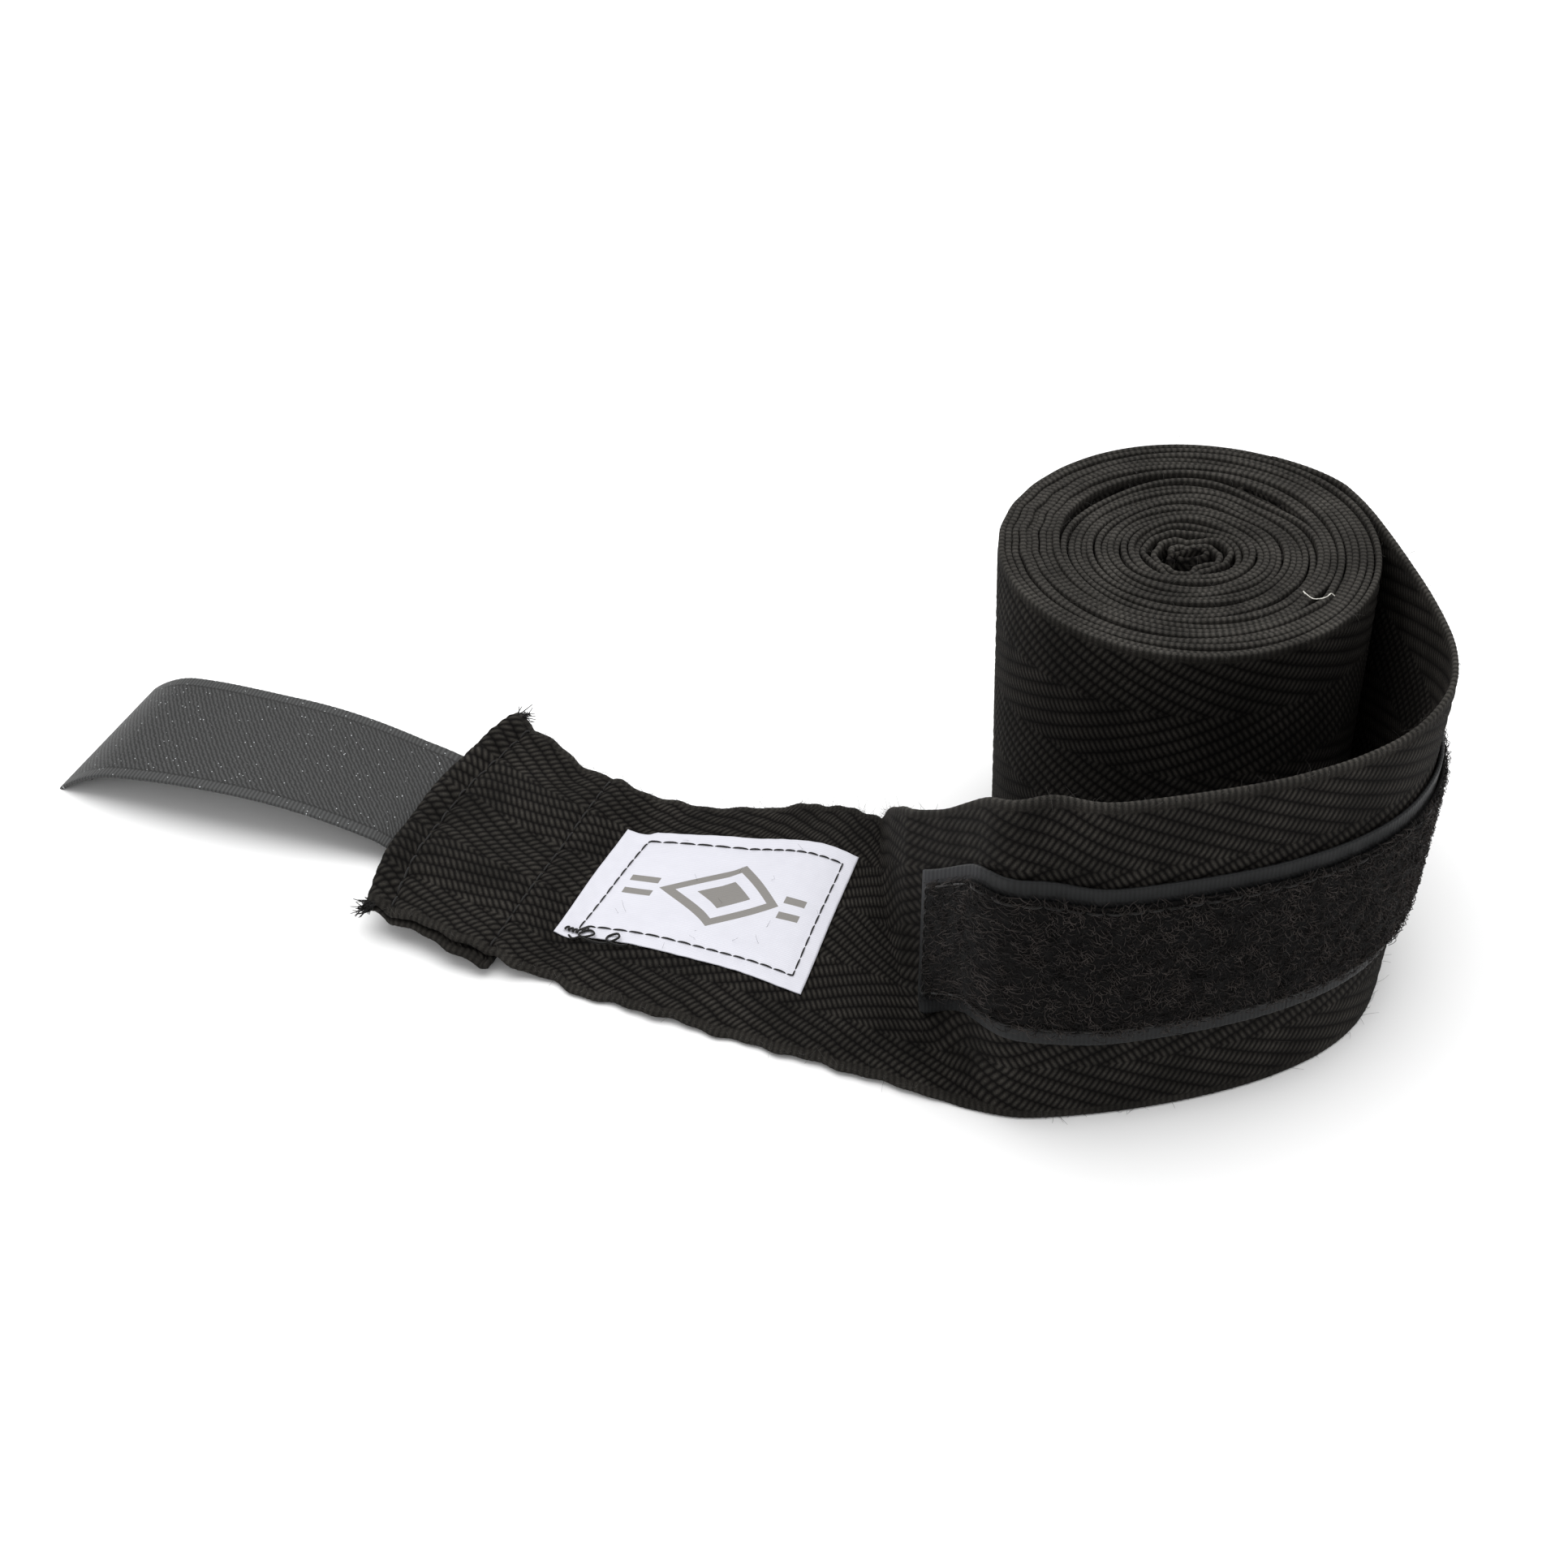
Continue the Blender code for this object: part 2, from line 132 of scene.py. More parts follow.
def rise_and_run(station, across):
    """How far in and how far up the free tape has gone at this distance from its lower edge."""
    bend = np.clip((station - FOLD_START) / (FOLD_END - FOLD_START), 0.0, 1.0) ** FOLD_HASTE
    centre = -FOLD_HALF_WIDTH + (TAPE_WIDTH + 2 * FOLD_HALF_WIDTH) * bend[..., None]
    samples = (np.arange(24) + 0.5) / 24 * across[..., None]
    tilt, lean = eased(TILT, station)[..., None], eased(LEAN, station)[..., None]
    standing = smooth((samples - centre + FOLD_HALF_WIDTH) / (2 * FOLD_HALF_WIDTH))
    angles = np.radians(tilt + (lean - tilt) * standing)
    return np.cos(angles).mean(-1) * across, np.sin(angles).mean(-1) * across


def free_middle(station, across):
    """Points midway through the free tape's thickness."""
    station, across = paired(station, across)
    x, y, heading = (np.interp(station, EDGE[0], EDGE[i]) for i in (1, 2, 3))
    run, rise = rise_and_run(station, across)
    # its upper edge holds up where the fold begins, and slumps soon after
    held, slump, tuck = (most * hump(station, centre, spread)
                         for centre, spread, most in (HELD_UP, SLUMP, TUCK))
    rise = rise + (held - slump) * (across / TAPE_WIDTH) ** 2
    for middle, spread, share in GATHERS:
        run = run * (1 - share * hump(station, middle, spread))
    square = heading + np.radians(value_at(SKEW, station))
    laid = smooth((station - FOLD_START) / (FOLD_END - FOLD_START))
    # a tuck pulls its near edge in beside the label, and both its edges are wavy
    near = smooth(1 - across / 0.009)
    far = smooth(1 - (TAPE_WIDTH - across) / 0.012)
    wave = 0.00024 * np.sin(station * 640) + 0.00016 * np.sin(station * 1410 + 1)
    run = run + laid * (near * (tuck + wave) + far * wave)
    up = FLOOR_GAP + laid * 0.000475 + FOLD_PUFF * laid * (1 - laid)
    creases = np.sin(station * 260 + across * 90) * np.sin(across * 170 + station * 60 + 1.2)
    up = up + laid * 0.00028 * (1 + creases)
    up = up + HEM_LIFT * smooth((station - HEM_START + 0.008) / 0.010)
    up = up + HEM_CORNER_LIFT * smooth((station - HEM_START) / 0.020) * smooth(1 - across / 0.035)
    return np.stack([x + np.sin(square) * run, y - np.cos(square) * run, rise + up], -1)


def moved_out(middle, station, across, out, step=0.0003):
    """Points this far out from a sheet's middle surface, along its outward normal."""
    along = middle(station + step, across) - middle(station - step, across)
    up = middle(station, across + step) - middle(station, across - step)
    normal = np.cross(up, along)
    normal /= np.linalg.norm(normal, axis=-1, keepdims=True)
    return middle(station, across) + normal * np.asarray(out)[..., None]


# Wound turns: distances out from the roll's axis, by direction, and numbers of turns
PEEL_ANGLE = math.atan2(PEEL[1] - ROLL_AXIS[1], PEEL[0] - ROLL_AXIS[0])
OUTER_TURNS, INNER_TURNS, CORE_TURNS = 8.658, 12.0, 2.7
BASE_SHARE = 0.954  # the roll narrows a little towards its foot
SLOT_ANGLE, SLOT_RADIUS = -38, 0.0203  # where one turn stands off its neighbour


def lobe(angle, centre, spread):
    """1 in one direction and fading to 0 away from it, in degrees."""
    return hump((np.degrees(angle) - centre + 180.0) % 360.0, 180.0, spread)


def wound_radius(back, angle):
    """How far from the roll's axis the tape is, this many turns back from where it leaves."""
    rim = 0.02632 - 0.0006 * lobe(angle, 138, 34) + 0.00108 * lobe(angle, 33, 34)
    parting = 0.0180 + 0.0005 * lobe(angle, 90, 60)
    gap = 0.0020 * lobe(angle, 122, 38) + 0.0021 * lobe(angle, 44, 26)
    core = 0.0066 * (1 + 0.07 * np.cos(2 * angle) + 0.03 * np.cos(3 * angle + 1.0))
    heart = 0.0030 * (1 + 0.26 * np.cos(2 * (angle - 0.35)))
    inner = back - OUTER_TURNS
    folds = inner - INNER_TURNS
    radius = parting + (rim - parting) * (1 - back / OUTER_TURNS)
    radius = np.where(inner > 0, core + (parting - gap - core) * (1 - inner / INNER_TURNS), radius)
    loose = (0.00052 * np.sin(3 * angle + 0.55 * folds) + 0.00026 * np.sin(5 * angle - 0.9 * folds)
             + 0.00012 * np.sin(11 * angle)) * smooth(folds)
    radius = np.where(folds > 0, core + (heart - core) * folds / CORE_TURNS + loose, radius)
    slack = 0.00010 * np.sin(back * 1.55) + 0.00005 * np.sin(back * 2.9 + 2.0 * angle)
    radius = radius + slack * smooth(back / 1.5)
    # one turn stands off its neighbour at the front right, and the tape ripples where it is slack
    from_slot = radius - SLOT_RADIUS
    parted = 0.00055 * lobe(angle, SLOT_ANGLE, 8) * np.exp(-np.abs(from_slot) / 0.0022)
    ripple = 0.00017 * lobe(angle, 158, 30) * np.sin(26 * angle) * smooth(1 - abs(inner + 4.5) / 6)
    return radius + np.where(from_slot > 0, parted, -parted) + ripple


def wound_lengths():
    """Turns back from where the tape leaves the roll, and the length of tape wound in them."""
    back = np.linspace(0.0, OUTER_TURNS + INNER_TURNS + CORE_TURNS, 12000)
    angle = PEEL_ANGLE + 2 * math.pi * back
    radius = wound_radius(back, angle)
    x, y = radius * np.cos(angle), radius * np.sin(angle)
    return back, np.append(0.0, np.cumsum(np.hypot(np.diff(x), np.diff(y))))


BACK, BACK_LENGTH = wound_lengths()
JOINING = 0.014  # the last stretch of the roll, which eases into the free tape


def wound_middle(station, across):
    """Points midway through the wound tape; its stations are negative."""
    station, across = paired(station, across)
    back = np.interp(-station, BACK_LENGTH, BACK)
    angle = PEEL_ANGLE + 2 * math.pi * back
    radius = wound_radius(back, angle)
    radius = radius * (BASE_SHARE + (1 - BASE_SHARE) * across / TAPE_WIDTH)
    uneven = 0.00022 * np.sin(back * 2.4) + 0.00016 * np.sin(back * 5.1 + 3 * angle)
    sunk = 0.0005 * smooth((back - OUTER_TURNS) / 2) + 0.0011 * smooth(
        (back - OUTER_TURNS - INNER_TURNS + 1.0) / 2)
    height = across + (uneven * smooth(back / 2) - sunk) * across / TAPE_WIDTH
    return np.stack([ROLL_AXIS[0] + radius * np.cos(angle),
                     ROLL_AXIS[1] + radius * np.sin(angle), height + FLOOR_GAP * 2], -1)


def tape_middle(station, across):
    """Points midway through the tape's thickness, wound or free."""
    station, across = paired(station, across)
    free = free_middle(np.maximum(station, 0.0), across)
    if station.min() >= 0:
        return free
    wound = wound_middle(np.minimum(station, 0.0), across)
    off = free_middle(np.zeros_like(across), across) - wound_middle(np.zeros_like(across), across)
    wound = wound + off * smooth(1 + station / JOINING)[..., None]
    return np.where((station < 0)[..., None], wound, free)


# Herringbone: raised rows slant to the tape's length and turn back at each column of the weave.
# Their pitches are a little over the yarns' own, which would be too fine to show.
ROW_PITCH, BEAD_PITCH, COLUMN = 0.00210, 0.00086, 0.0104
ROW_SLANT = math.radians(24)
BEAD_SLANT = 0.26  # how far a bead leans across its row, in beads
WEAVE_SHIFT = 0.0018  # how far the first column starts outside the tape
SELVEDGE, SELVEDGE_FADE, RIB_PITCH = 0.0016, 0.0004, 0.00088
ROW_RISE, RIB_RISE = 0.00017, 0.00005


def herringbone(station, across):
    """The twill's relief, and the ribs of the selvedges."""
    zigzag = COLUMN - np.abs((across + WEAVE_SHIFT) % (2 * COLUMN) - COLUMN)
    row = (zigzag * math.cos(ROW_SLANT) - station * math.sin(ROW_SLANT)) / ROW_PITCH
    bead = (zigzag * math.sin(ROW_SLANT) + station * math.cos(ROW_SLANT)) / BEAD_PITCH
    bead = bead + 0.5 * np.floor(row) + BEAD_SLANT * (row % 1)
    rows = np.abs(np.sin(math.pi * row)) ** 0.8
    beads = 0.80 - 0.20 * np.cos(2 * math.pi * bead)
    edge = np.minimum(across, TAPE_WIDTH - across)
    ribs = 0.5 + 0.5 * np.cos(2 * math.pi * station / RIB_PITCH)
    inside = smooth((edge - SELVEDGE + SELVEDGE_FADE) / SELVEDGE_FADE)
    return ROW_RISE * rows * beads * inside + RIB_RISE * ribs * (1 - inside)


def add_piece(name, points, faces, finish, uv=None):
    """A mesh object from points and faces, shaded smooth."""
    mesh = bpy.data.meshes.new(name)
    mesh.from_pydata(points.reshape(-1, 3).tolist(), [], faces)
    if uv is not None:
        corner = np.empty(len(mesh.loops), np.int32)
        mesh.loops.foreach_get("vertex_index", corner)
        layer = mesh.uv_layers.new(name="weave")
        layer.data.foreach_set("uv", uv.reshape(-1, 2)[corner].astype(np.float32).ravel())
    mesh.polygons.foreach_set("use_smooth", np.ones(len(mesh.polygons), bool))
    mesh.materials.append(finish)
    made = bpy.data.objects.new(name, mesh)
    bpy.context.scene.collection.objects.link(made)
    return made


def woven_sheet(name, middle, stations, across, half, relief, finish, shares, arc=5,
                twist=0.0003, crown=1.0):
    """A sheet as one closed mesh: rings of points round its width, set along its length.

    The sheet lies between across's two limits, is half thick on each side of middle, and relief
    raises both its faces. shares are its rows' places across it, from 0 to 1. UVs are station and
    across, in metres.
    """
    low, high = across
    rows = len(shares)
    turn = np.linspace(0.0, math.pi, arc + 2)[1:-1]
    face = low + half + (high - low - 2 * half) * np.array(shares)
    centre = np.concatenate([face, np.full(arc, high - half), face[::-1], np.full(arc, low + half)])
    aside = np.concatenate([0 * face, np.sin(turn), 0 * face, -np.sin(turn)])
    out = np.concatenate([0 * face + 1, np.cos(turn), 0 * face - 1, -np.cos(turn)])
    lead = np.concatenate([0 * face, turn / math.pi - 0.5, 0 * face, turn / math.pi - 0.5]) * twist
    station, centre = np.meshgrid(stations, centre, indexing="ij")
    thick = half + relief(station + lead, centre)
    points = moved_out(middle, station, centre + aside * thick * crown, out * thick)
    rings, count = station.shape
    here = np.arange(rings * count).reshape(rings, count)
    after = np.roll(here, -1, axis=1)
    faces = np.stack([here[:-1], after[:-1], after[1:], here[1:]], -1).reshape(-1, 4).tolist()
    for ring, turned in ((0, False), (rings - 1, True)):
        first = ring * count
        caps = [[j, 2 * rows + arc - 1 - j, 2 * rows + arc - 2 - j, j + 1] for j in range(rows - 1)]
        caps.append(list(range(rows + arc, rows - 2, -1)))
        caps.append([0] + list(range(2 * rows + 2 * arc - 1, 2 * rows + arc - 2, -1)))
        for cap in caps:
            cap = [first + j for j in cap]
            faces.append(cap[::-1] if turned else cap)
    return add_piece(name, points, faces, finish, np.stack([station, centre + aside * half], -1))


def linear(code):
    """A colour's sRGB hex code as the linear numbers that a shader takes."""
    parts = [int(code[i:i + 2], 16) / 255 for i in (1, 3, 5)]
    return (*(p / 12.92 if p <= 0.04045 else ((p + 0.055) / 1.055) ** 2.4 for p in parts), 1.0)


def add_node(tree, kind, inputs, **settings):
    """A shader node with its settings and its inputs.

    An input is a value, the socket that feeds it, or a sum as (operation, term, term...).
    """
    made = tree.nodes.new(kind)
    for name, value in settings.items():
        setattr(made, name, value)
    for key, value in inputs.items():
        if isinstance(value, tuple) and isinstance(value[0], str):
            terms = dict(enumerate(value[1:]))
            value = add_node(tree, "ShaderNodeMath", terms, operation=value[0]).outputs[0]
        if isinstance(value, bpy.types.NodeSocket):
            tree.links.new(value, made.inputs[key])
        else:
            made.inputs[key].default_value = value
    return made


def new_material(name, finish):
    """A material, its node tree, and its shader with these inputs set."""
    made = bpy.data.materials.new(name)
    made.use_nodes = True
    shader = made.node_tree.nodes["Principled BSDF"]
    for key, value in finish.items():
        shader.inputs[key].default_value = value
    return made, made.node_tree, shader


def twilled_cotton():
    """Carded cotton yarn dyed black: matt, with a faint bloom of fibres and a warm cast.

    Raised rows are painted lighter and the valleys between them black, as painted highlight and
    shade. Edges are greyer, because the yarns turn there and their ends are brushed, with painted
    shade between their ribs; the upper selvedge is greyer still, as painted light from above.
    """
    made, tree, shader = new_material("twilled_cotton", {
        "Roughness": 0.92, "IOR": 1.5, "Specular IOR Level": 0.08, "Sheen Weight": 0.03,
        "Sheen Roughness": 0.45, "Sheen Tint": linear("#8d8780")})
    uv = add_node(tree, "ShaderNodeUVMap", {}, uv_map="weave").outputs["UV"]
    place = add_node(tree, "ShaderNodeSeparateXYZ", {0: uv})
    station, across = place.outputs["X"], place.outputs["Y"]
    zigzag = ("PINGPONG", ("ADD", across, WEAVE_SHIFT), COLUMN)
    row = ("DIVIDE", ("SUBTRACT", ("MULTIPLY", zigzag, math.cos(ROW_SLANT)),
                      ("MULTIPLY", station, math.sin(ROW_SLANT))), ROW_PITCH)
    bead = ("DIVIDE", ("ADD", ("MULTIPLY", zigzag, math.sin(ROW_SLANT)),
                       ("MULTIPLY", station, math.cos(ROW_SLANT))), BEAD_PITCH)
    bead = ("ADD", bead, ("MULTIPLY", ("FLOOR", row), 0.5))
    bead = ("ADD", bead, ("MULTIPLY", ("FLOORED_MODULO", row, 1.0), BEAD_SLANT))
    rows = ("POWER", ("ABSOLUTE", ("SINE", ("MULTIPLY", row, math.pi))), 0.8)
    beads = ("MULTIPLY_ADD", ("COSINE", ("MULTIPLY", bead, 2 * math.pi)), -0.46, 0.54)
    # the yarn's own ply, 0.35 mm long, crosses each bead
    ply = ("SINE", ("MULTIPLY", ("ADD", ("MULTIPLY", station, 0.8), ("MULTIPLY", across, 1.4)),
                    2 * math.pi / 0.00035))
    twill = ("MULTIPLY", rows, beads)
    edge = ("SUBTRACT", TAPE_WIDTH / 2, ("ABSOLUTE", ("SUBTRACT", across, TAPE_WIDTH / 2)))
    selvedge = add_node(tree, "ShaderNodeMapRange",
                        {0: edge, 1: SELVEDGE, 2: SELVEDGE - SELVEDGE_FADE, 3: 0.0, 4: 1.0})
    turned = add_node(tree, "ShaderNodeMapRange",
                      {0: edge, 1: 0.0010, 2: -0.0001, 3: 0.0, 4: 1.0}).outputs[0]
    # the upper selvedge is painted greyer than the lower, as painted light on the roll's top, which
    # faces the lamp
    painted_top_light = add_node(tree, "ShaderNodeMapRange",
                       {0: across, 1: 0.010, 2: 0.040, 3: 0.2, 4: 1.0}).outputs[0]
    turned = ("MULTIPLY", turned, painted_top_light)
    rib = ("MULTIPLY_ADD", ("COSINE", ("MULTIPLY", station, 2 * math.pi / RIB_PITCH)), 0.5, 0.5)
    rib_relief_and_shade = ("MULTIPLY_ADD", rib, 0.35, 0.35)
    cloth = add_node(tree, "ShaderNodeMix", {0: selvedge.outputs[0], 2: twill, 3: rib_relief_and_shade},
                     data_type="FLOAT")
    coords = add_node(tree, "ShaderNodeTexCoord", {}).outputs["Object"]
    # single fibres 0.2 mm apart, and wear in patches 7 mm across
    fibre = add_node(tree, "ShaderNodeTexNoise",
                     {"Vector": coords, "Scale": 5200.0, "Detail": 3.0, "Roughness": 0.7})
    worn = add_node(tree, "ShaderNodeTexNoise", {"Vector": coords, "Scale": 140.0, "Detail": 4.0})
    height = ("ADD", cloth.outputs[0], ("MULTIPLY", fibre.outputs["Fac"], 0.55))
    height = ("ADD", height, ("MULTIPLY", ply, 0.10))
    # the raised rows are painted lighter and the valleys near black: painted highlight and shade on
    # the weave
    body = add_node(tree, "ShaderNodeMix",
                    {0: cloth.outputs[0], 6: linear("#030202"), 7: linear("#2b2926")},
                    data_type="RGBA")
    # the selvedges' grey is partly their brushed yarn ends; darker between the ribs is painted
    # shade
    brushed = add_node(tree, "ShaderNodeMix",
                       {0: rib, 6: linear("#201f1d"), 7: linear("#3a3835")}, data_type="RGBA")
    blend = add_node(tree, "ShaderNodeMix",
                     {0: turned, 6: body.outputs[2], 7: brushed.outputs[2]}, data_type="RGBA")
    lint = add_node(tree, "ShaderNodeMapRange",
                    {0: worn.outputs["Fac"], 1: 0.35, 2: 0.75, 3: 0.75, 4: 1.5}).outputs[0]
    speck = add_node(tree, "ShaderNodeMapRange",
                     {0: fibre.outputs["Fac"], 1: 0.3, 2: 0.72, 3: 0.6, 4: 1.55}).outputs[0]
    shade = ("MULTIPLY", lint, speck)
    toned = add_node(tree, "ShaderNodeMix", {0: 1.0, 6: blend.outputs[2], 7: shade},
                     data_type="RGBA", blend_type="MULTIPLY")
    tree.links.new(toned.outputs[2], shader.inputs["Base Color"])
    bump = add_node(tree, "ShaderNodeBump", {"Strength": 0.75, "Distance": 0.00013,
                                             "Height": height})
    tree.links.new(bump.outputs["Normal"], shader.inputs["Normal"])
    return made


COTTON = twilled_cotton()


def every(step, first, last):
    """Stations from first to last, about a step apart."""
    return np.linspace(first, last, max(2, int(round((last - first) / step)) + 1))


def length_of(middle, stations, across):
    """Length of a sheet along one line of it."""
    line = middle(stations, np.full(len(stations), across))
    return float(np.linalg.norm(np.diff(line, axis=0), axis=1).sum())


# The free tape's pieces meet in the middle of a rigid stretch, and each bends over one fold.
SEAM_ON_ROLL, SEAM_ON_SIDE, SEAM_ON_FRONT, SEAM_ON_END = -0.012, 0.030, 0.095, 0.170
HALFWAY = 0.025  # across, the middle of the tape
STEP = 0.00032
FINE = np.linspace(0.0, 1.0, 150)


def lift_way(distance):
    """A point this far past the fold where the end lifts, square to the fold."""
    axis = np.array(JOINTS["end_lift"]["axis"])
    ahead = np.cross(axis, (0.0, 0.0, 1.0))
    if ahead[0] > 0:
        ahead = -ahead
    return (np.array(JOINTS["end_lift"]["pos_m"]) + axis * TAPE_WIDTH / 2
            + ahead / np.linalg.norm(ahead) * distance)


peel_bend = {"start": tape_middle(-0.004, HALFWAY), "end": tape_middle(0.007, HALFWAY)}
corner_bend = {"start": tape_middle(0.052, HALFWAY), "end": tape_middle(0.068, HALFWAY)}
lift_bend = {"start": lift_way(-0.006), "end": lift_way(0.006)}
for name, first, last, bodies, bend, nodes, neighbour in (
        ("tape_at_peel", SEAM_ON_ROLL, SEAM_ON_SIDE, ("roll", "tail_side"), peel_bend,
         ["tape_side"], "tape_at_corner"),
        ("tape_at_corner", SEAM_ON_SIDE, SEAM_ON_FRONT, ("tail_side", "tail_front"), corner_bend,
         ["tape_front"], "tape_at_fold"),
        ("tape_at_fold", SEAM_ON_FRONT, SEAM_ON_END, ("tail_front", "tail_end"), lift_bend,
         [], "tape_at_hem")):
    piece = woven_sheet(name, tape_middle, every(STEP, first, last), (0.0, TAPE_WIDTH), TAPE_HALF,
                        herringbone, COTTON, FINE)
    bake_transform(piece)
    if nodes:
        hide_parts(*nodes)

# The hem.
# The tape's end is turned under by 20 mm, a little askew, and held by two rows of stitches, so it
# is twice as thick there. Its fold bows out where the tab pulls on it.

TURNED_OUT = -0.00125  # the turned layer's middle, under the tape's
TURN_ASKEW = 0.0019  # how far the turned layer sticks out past the near edge at its inner end
TURN_LENGTH = math.pi * abs(TURNED_OUT) / 2


def bowed(station, across):
    """The station moved out by the hem's bow."""
    share = np.clip((station - HEM_START) / (TAPE_END - HEM_START), 0.0, 1.0)
    middle = TAPE_WIDTH / 2
    return station + HEM_BOW * share * (1 - np.minimum(1.0, ((across - middle) / middle) ** 2))


HEM_ROWS = (TAPE_END - 0.0030, HEM_START + 0.0010)


def quilted(station, across):
    """How far the two rows of stitches pull the hem in, and how it puffs up beside them."""
    drawn = sum(hump(station, row, 0.0009) for row in HEM_ROWS)
    puffed = hump(station, TAPE_END - 0.0004, 0.0012)
    pucker = hump(station, HEM_ROWS[0], 0.003) * np.sin(across * 1350)
    swell = smooth((station - HEM_START) / 0.006) * np.sin(across * 330 + 0.8 + station * 200)
    return -0.00055 * drawn + 0.00075 * puffed + 0.00016 * pucker + 0.00030 * swell


def hem_surface(station, across, out):
    """Points out from the laid end, before its turn."""
    return moved_out(lambda s, t: tape_middle(bowed(s, t), t), station, across,
                     out + quilted(station, across))


def hem_middle(station, across):
    """The laid end's middle surface, round its turn and back under itself."""
    station, across = paired(station, across)
    over = np.clip(station - TAPE_END, 0.0, TURN_LENGTH)
    under = np.maximum(station - TAPE_END - TURN_LENGTH, 0.0)
    angle = over / TURN_LENGTH * math.pi
    at = np.minimum(station, TAPE_END) - under + 1e-9
    aside = across - TURN_ASKEW * smooth(under / (TAPE_END - HEM_START))
    flat = hem_surface(at, aside, TURNED_OUT / 2 * (1 - np.cos(angle)))
    ahead = hem_surface(at, aside, 0 * angle) - hem_surface(at - 0.001, aside, 0 * angle)
    ahead /= np.linalg.norm(ahead, axis=-1, keepdims=True)
    return flat + ahead * (abs(TURNED_OUT) / 2 * np.sin(angle))[..., None]


HEM_LAST = TAPE_END + TURN_LENGTH + (TAPE_END - HEM_START)
hem_stations = np.concatenate([every(STEP, SEAM_ON_END, TAPE_END),
                               every(STEP / 2, TAPE_END, TAPE_END + TURN_LENGTH)[1:],
                               every(STEP, TAPE_END + TURN_LENGTH, HEM_LAST)[1:]])
hem_piece = woven_sheet("tape_at_hem", hem_middle, hem_stations, (0.0, TAPE_WIDTH), TAPE_HALF,
                        herringbone, COTTON, FINE)
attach(hem_piece, "tail_end")
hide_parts("tape_end", "hem_turning")

# The roll.
# The tape is wound on itself from its thumb loop out: loose folds at the heart, a tight inner group
# of turns, then a slacker outer group with a crescent of air behind. The turns stand on their
# selvedges, whose ribs show on top as rows of small beads.

ROLL_HALF, TIGHT_HALF = 0.00043, 0.00038
EDGED = (0.0, 0.03, 0.07, 0.93, 0.97, 1.0)  # a wound turn is only seen at its edges
LAST_TURN = float(np.interp(1.0, BACK, BACK_LENGTH)) + 0.004
OUTER_LENGTH = float(np.interp(OUTER_TURNS, BACK, BACK_LENGTH))
INNER_LENGTH = float(np.interp(OUTER_TURNS + INNER_TURNS, BACK, BACK_LENGTH))
WOUND_LENGTH = float(BACK_LENGTH[-1])


def edge_ribs(station, across):
    """Relief of a wound turn, of which only the selvedges show."""
    edge = np.minimum(across, TAPE_WIDTH - across)
    uneven = 0.00022 * np.sin(station * 410) + 0.00012 * np.sin(station * 1730)
    ribs = 0.5 + 0.5 * np.cos(2 * math.pi * (station + uneven) / RIB_PITCH)
    return 0.00006 * ribs * smooth(1 - edge / 0.003)


last_turn = woven_sheet("last_wound_turn", tape_middle,
                        every(0.00044, -LAST_TURN, SEAM_ON_ROLL), (0.0, TAPE_WIDTH),
                        TAPE_HALF, herringbone, COTTON, np.linspace(0.0, 1.0, 112), crown=0.7)
outer = woven_sheet("outer_wound_turns", tape_middle,
                    every(0.00030, -OUTER_LENGTH, -LAST_TURN), (0.0, TAPE_WIDTH),
                    ROLL_HALF, edge_ribs, COTTON, EDGED, twist=0.0007, crown=0.5)
inner = woven_sheet("inner_wound_turns", tape_middle, every(0.00030, -INNER_LENGTH, -OUTER_LENGTH),
                    (0.0, TAPE_WIDTH), TIGHT_HALF, edge_ribs, COTTON, EDGED, twist=0.0007,
                    crown=0.6)
heart = woven_sheet("folds_at_heart", tape_middle, every(0.00028, -WOUND_LENGTH, -INNER_LENGTH),
                    (0.0, TAPE_WIDTH), TIGHT_HALF, edge_ribs, COTTON, EDGED, twist=0.0005)
for piece, node, length, neighbour in (
        (last_turn, "outer_turns", LAST_TURN + SEAM_ON_ROLL, "outer_wound_turns"),
        (outer, "outer_turns", OUTER_LENGTH - LAST_TURN, "inner_wound_turns"),
        (inner, "inner_turns", INNER_LENGTH - OUTER_LENGTH, "folds_at_heart"),
        (heart, "core_fold", WOUND_LENGTH - INNER_LENGTH, "inner_wound_turns")):
    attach(piece, "roll")
    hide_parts(node)

# The pleat.
# Where the outer turns begin, the slack tape has doubled back on itself and left a hairpin standing
# in the crescent of air at the back.

PLEAT_KEYS = ((20, 0.0170), (30, 0.0171), (40, 0.01715), (50, 0.0172), (57, 0.0174), (61, 0.0179),
              (60, 0.0185), (56, 0.0188), (48, 0.01865), (38, 0.0184), (28, 0.01835))


def smooth_path(points, count):
    """A smooth open curve through points, as evenly set points along it."""
    points = np.array(points, float)
    ends = np.vstack([2 * points[0] - points[1], points, 2 * points[-1] - points[-2]])
    x = np.linspace(0, len(points) - 1 - 1e-9, count * 4)
    i, f = x.astype(int), (x % 1)[:, None]
    a, b, c, d = ends[i], ends[i + 1], ends[i + 2], ends[i + 3]
    curve = 0.5 * (2 * b + (c - a) * f + (2 * a - 5 * b + 4 * c - d) * f ** 2
                   + (3 * b - a - 3 * c + d) * f ** 3)
    length = np.append(0.0, np.cumsum(np.linalg.norm(np.diff(curve, axis=0), axis=1)))
    even = np.linspace(0, length[-1], count)
    return np.stack([np.interp(even, length, curve[:, k]) for k in range(curve.shape[1])], -1), even


def standing_band(name, plan, base, top, relief, shares, half):
    """A strip that stands on its edge along a plan curve, from base to top."""
    line, length = smooth_path(plan, 400)

    def middle(station, across):
        """Points midway through the strip."""
        station, across = paired(station, across)
        x, y = (np.interp(station, length, line[:, k]) for k in (0, 1))
        return np.stack([x, y, base + across], -1)

    return woven_sheet(name, middle, every(0.00028, 0.0, length[-1]), (0.0, top - base), half,
                       relief, COTTON, shares), length[-1]


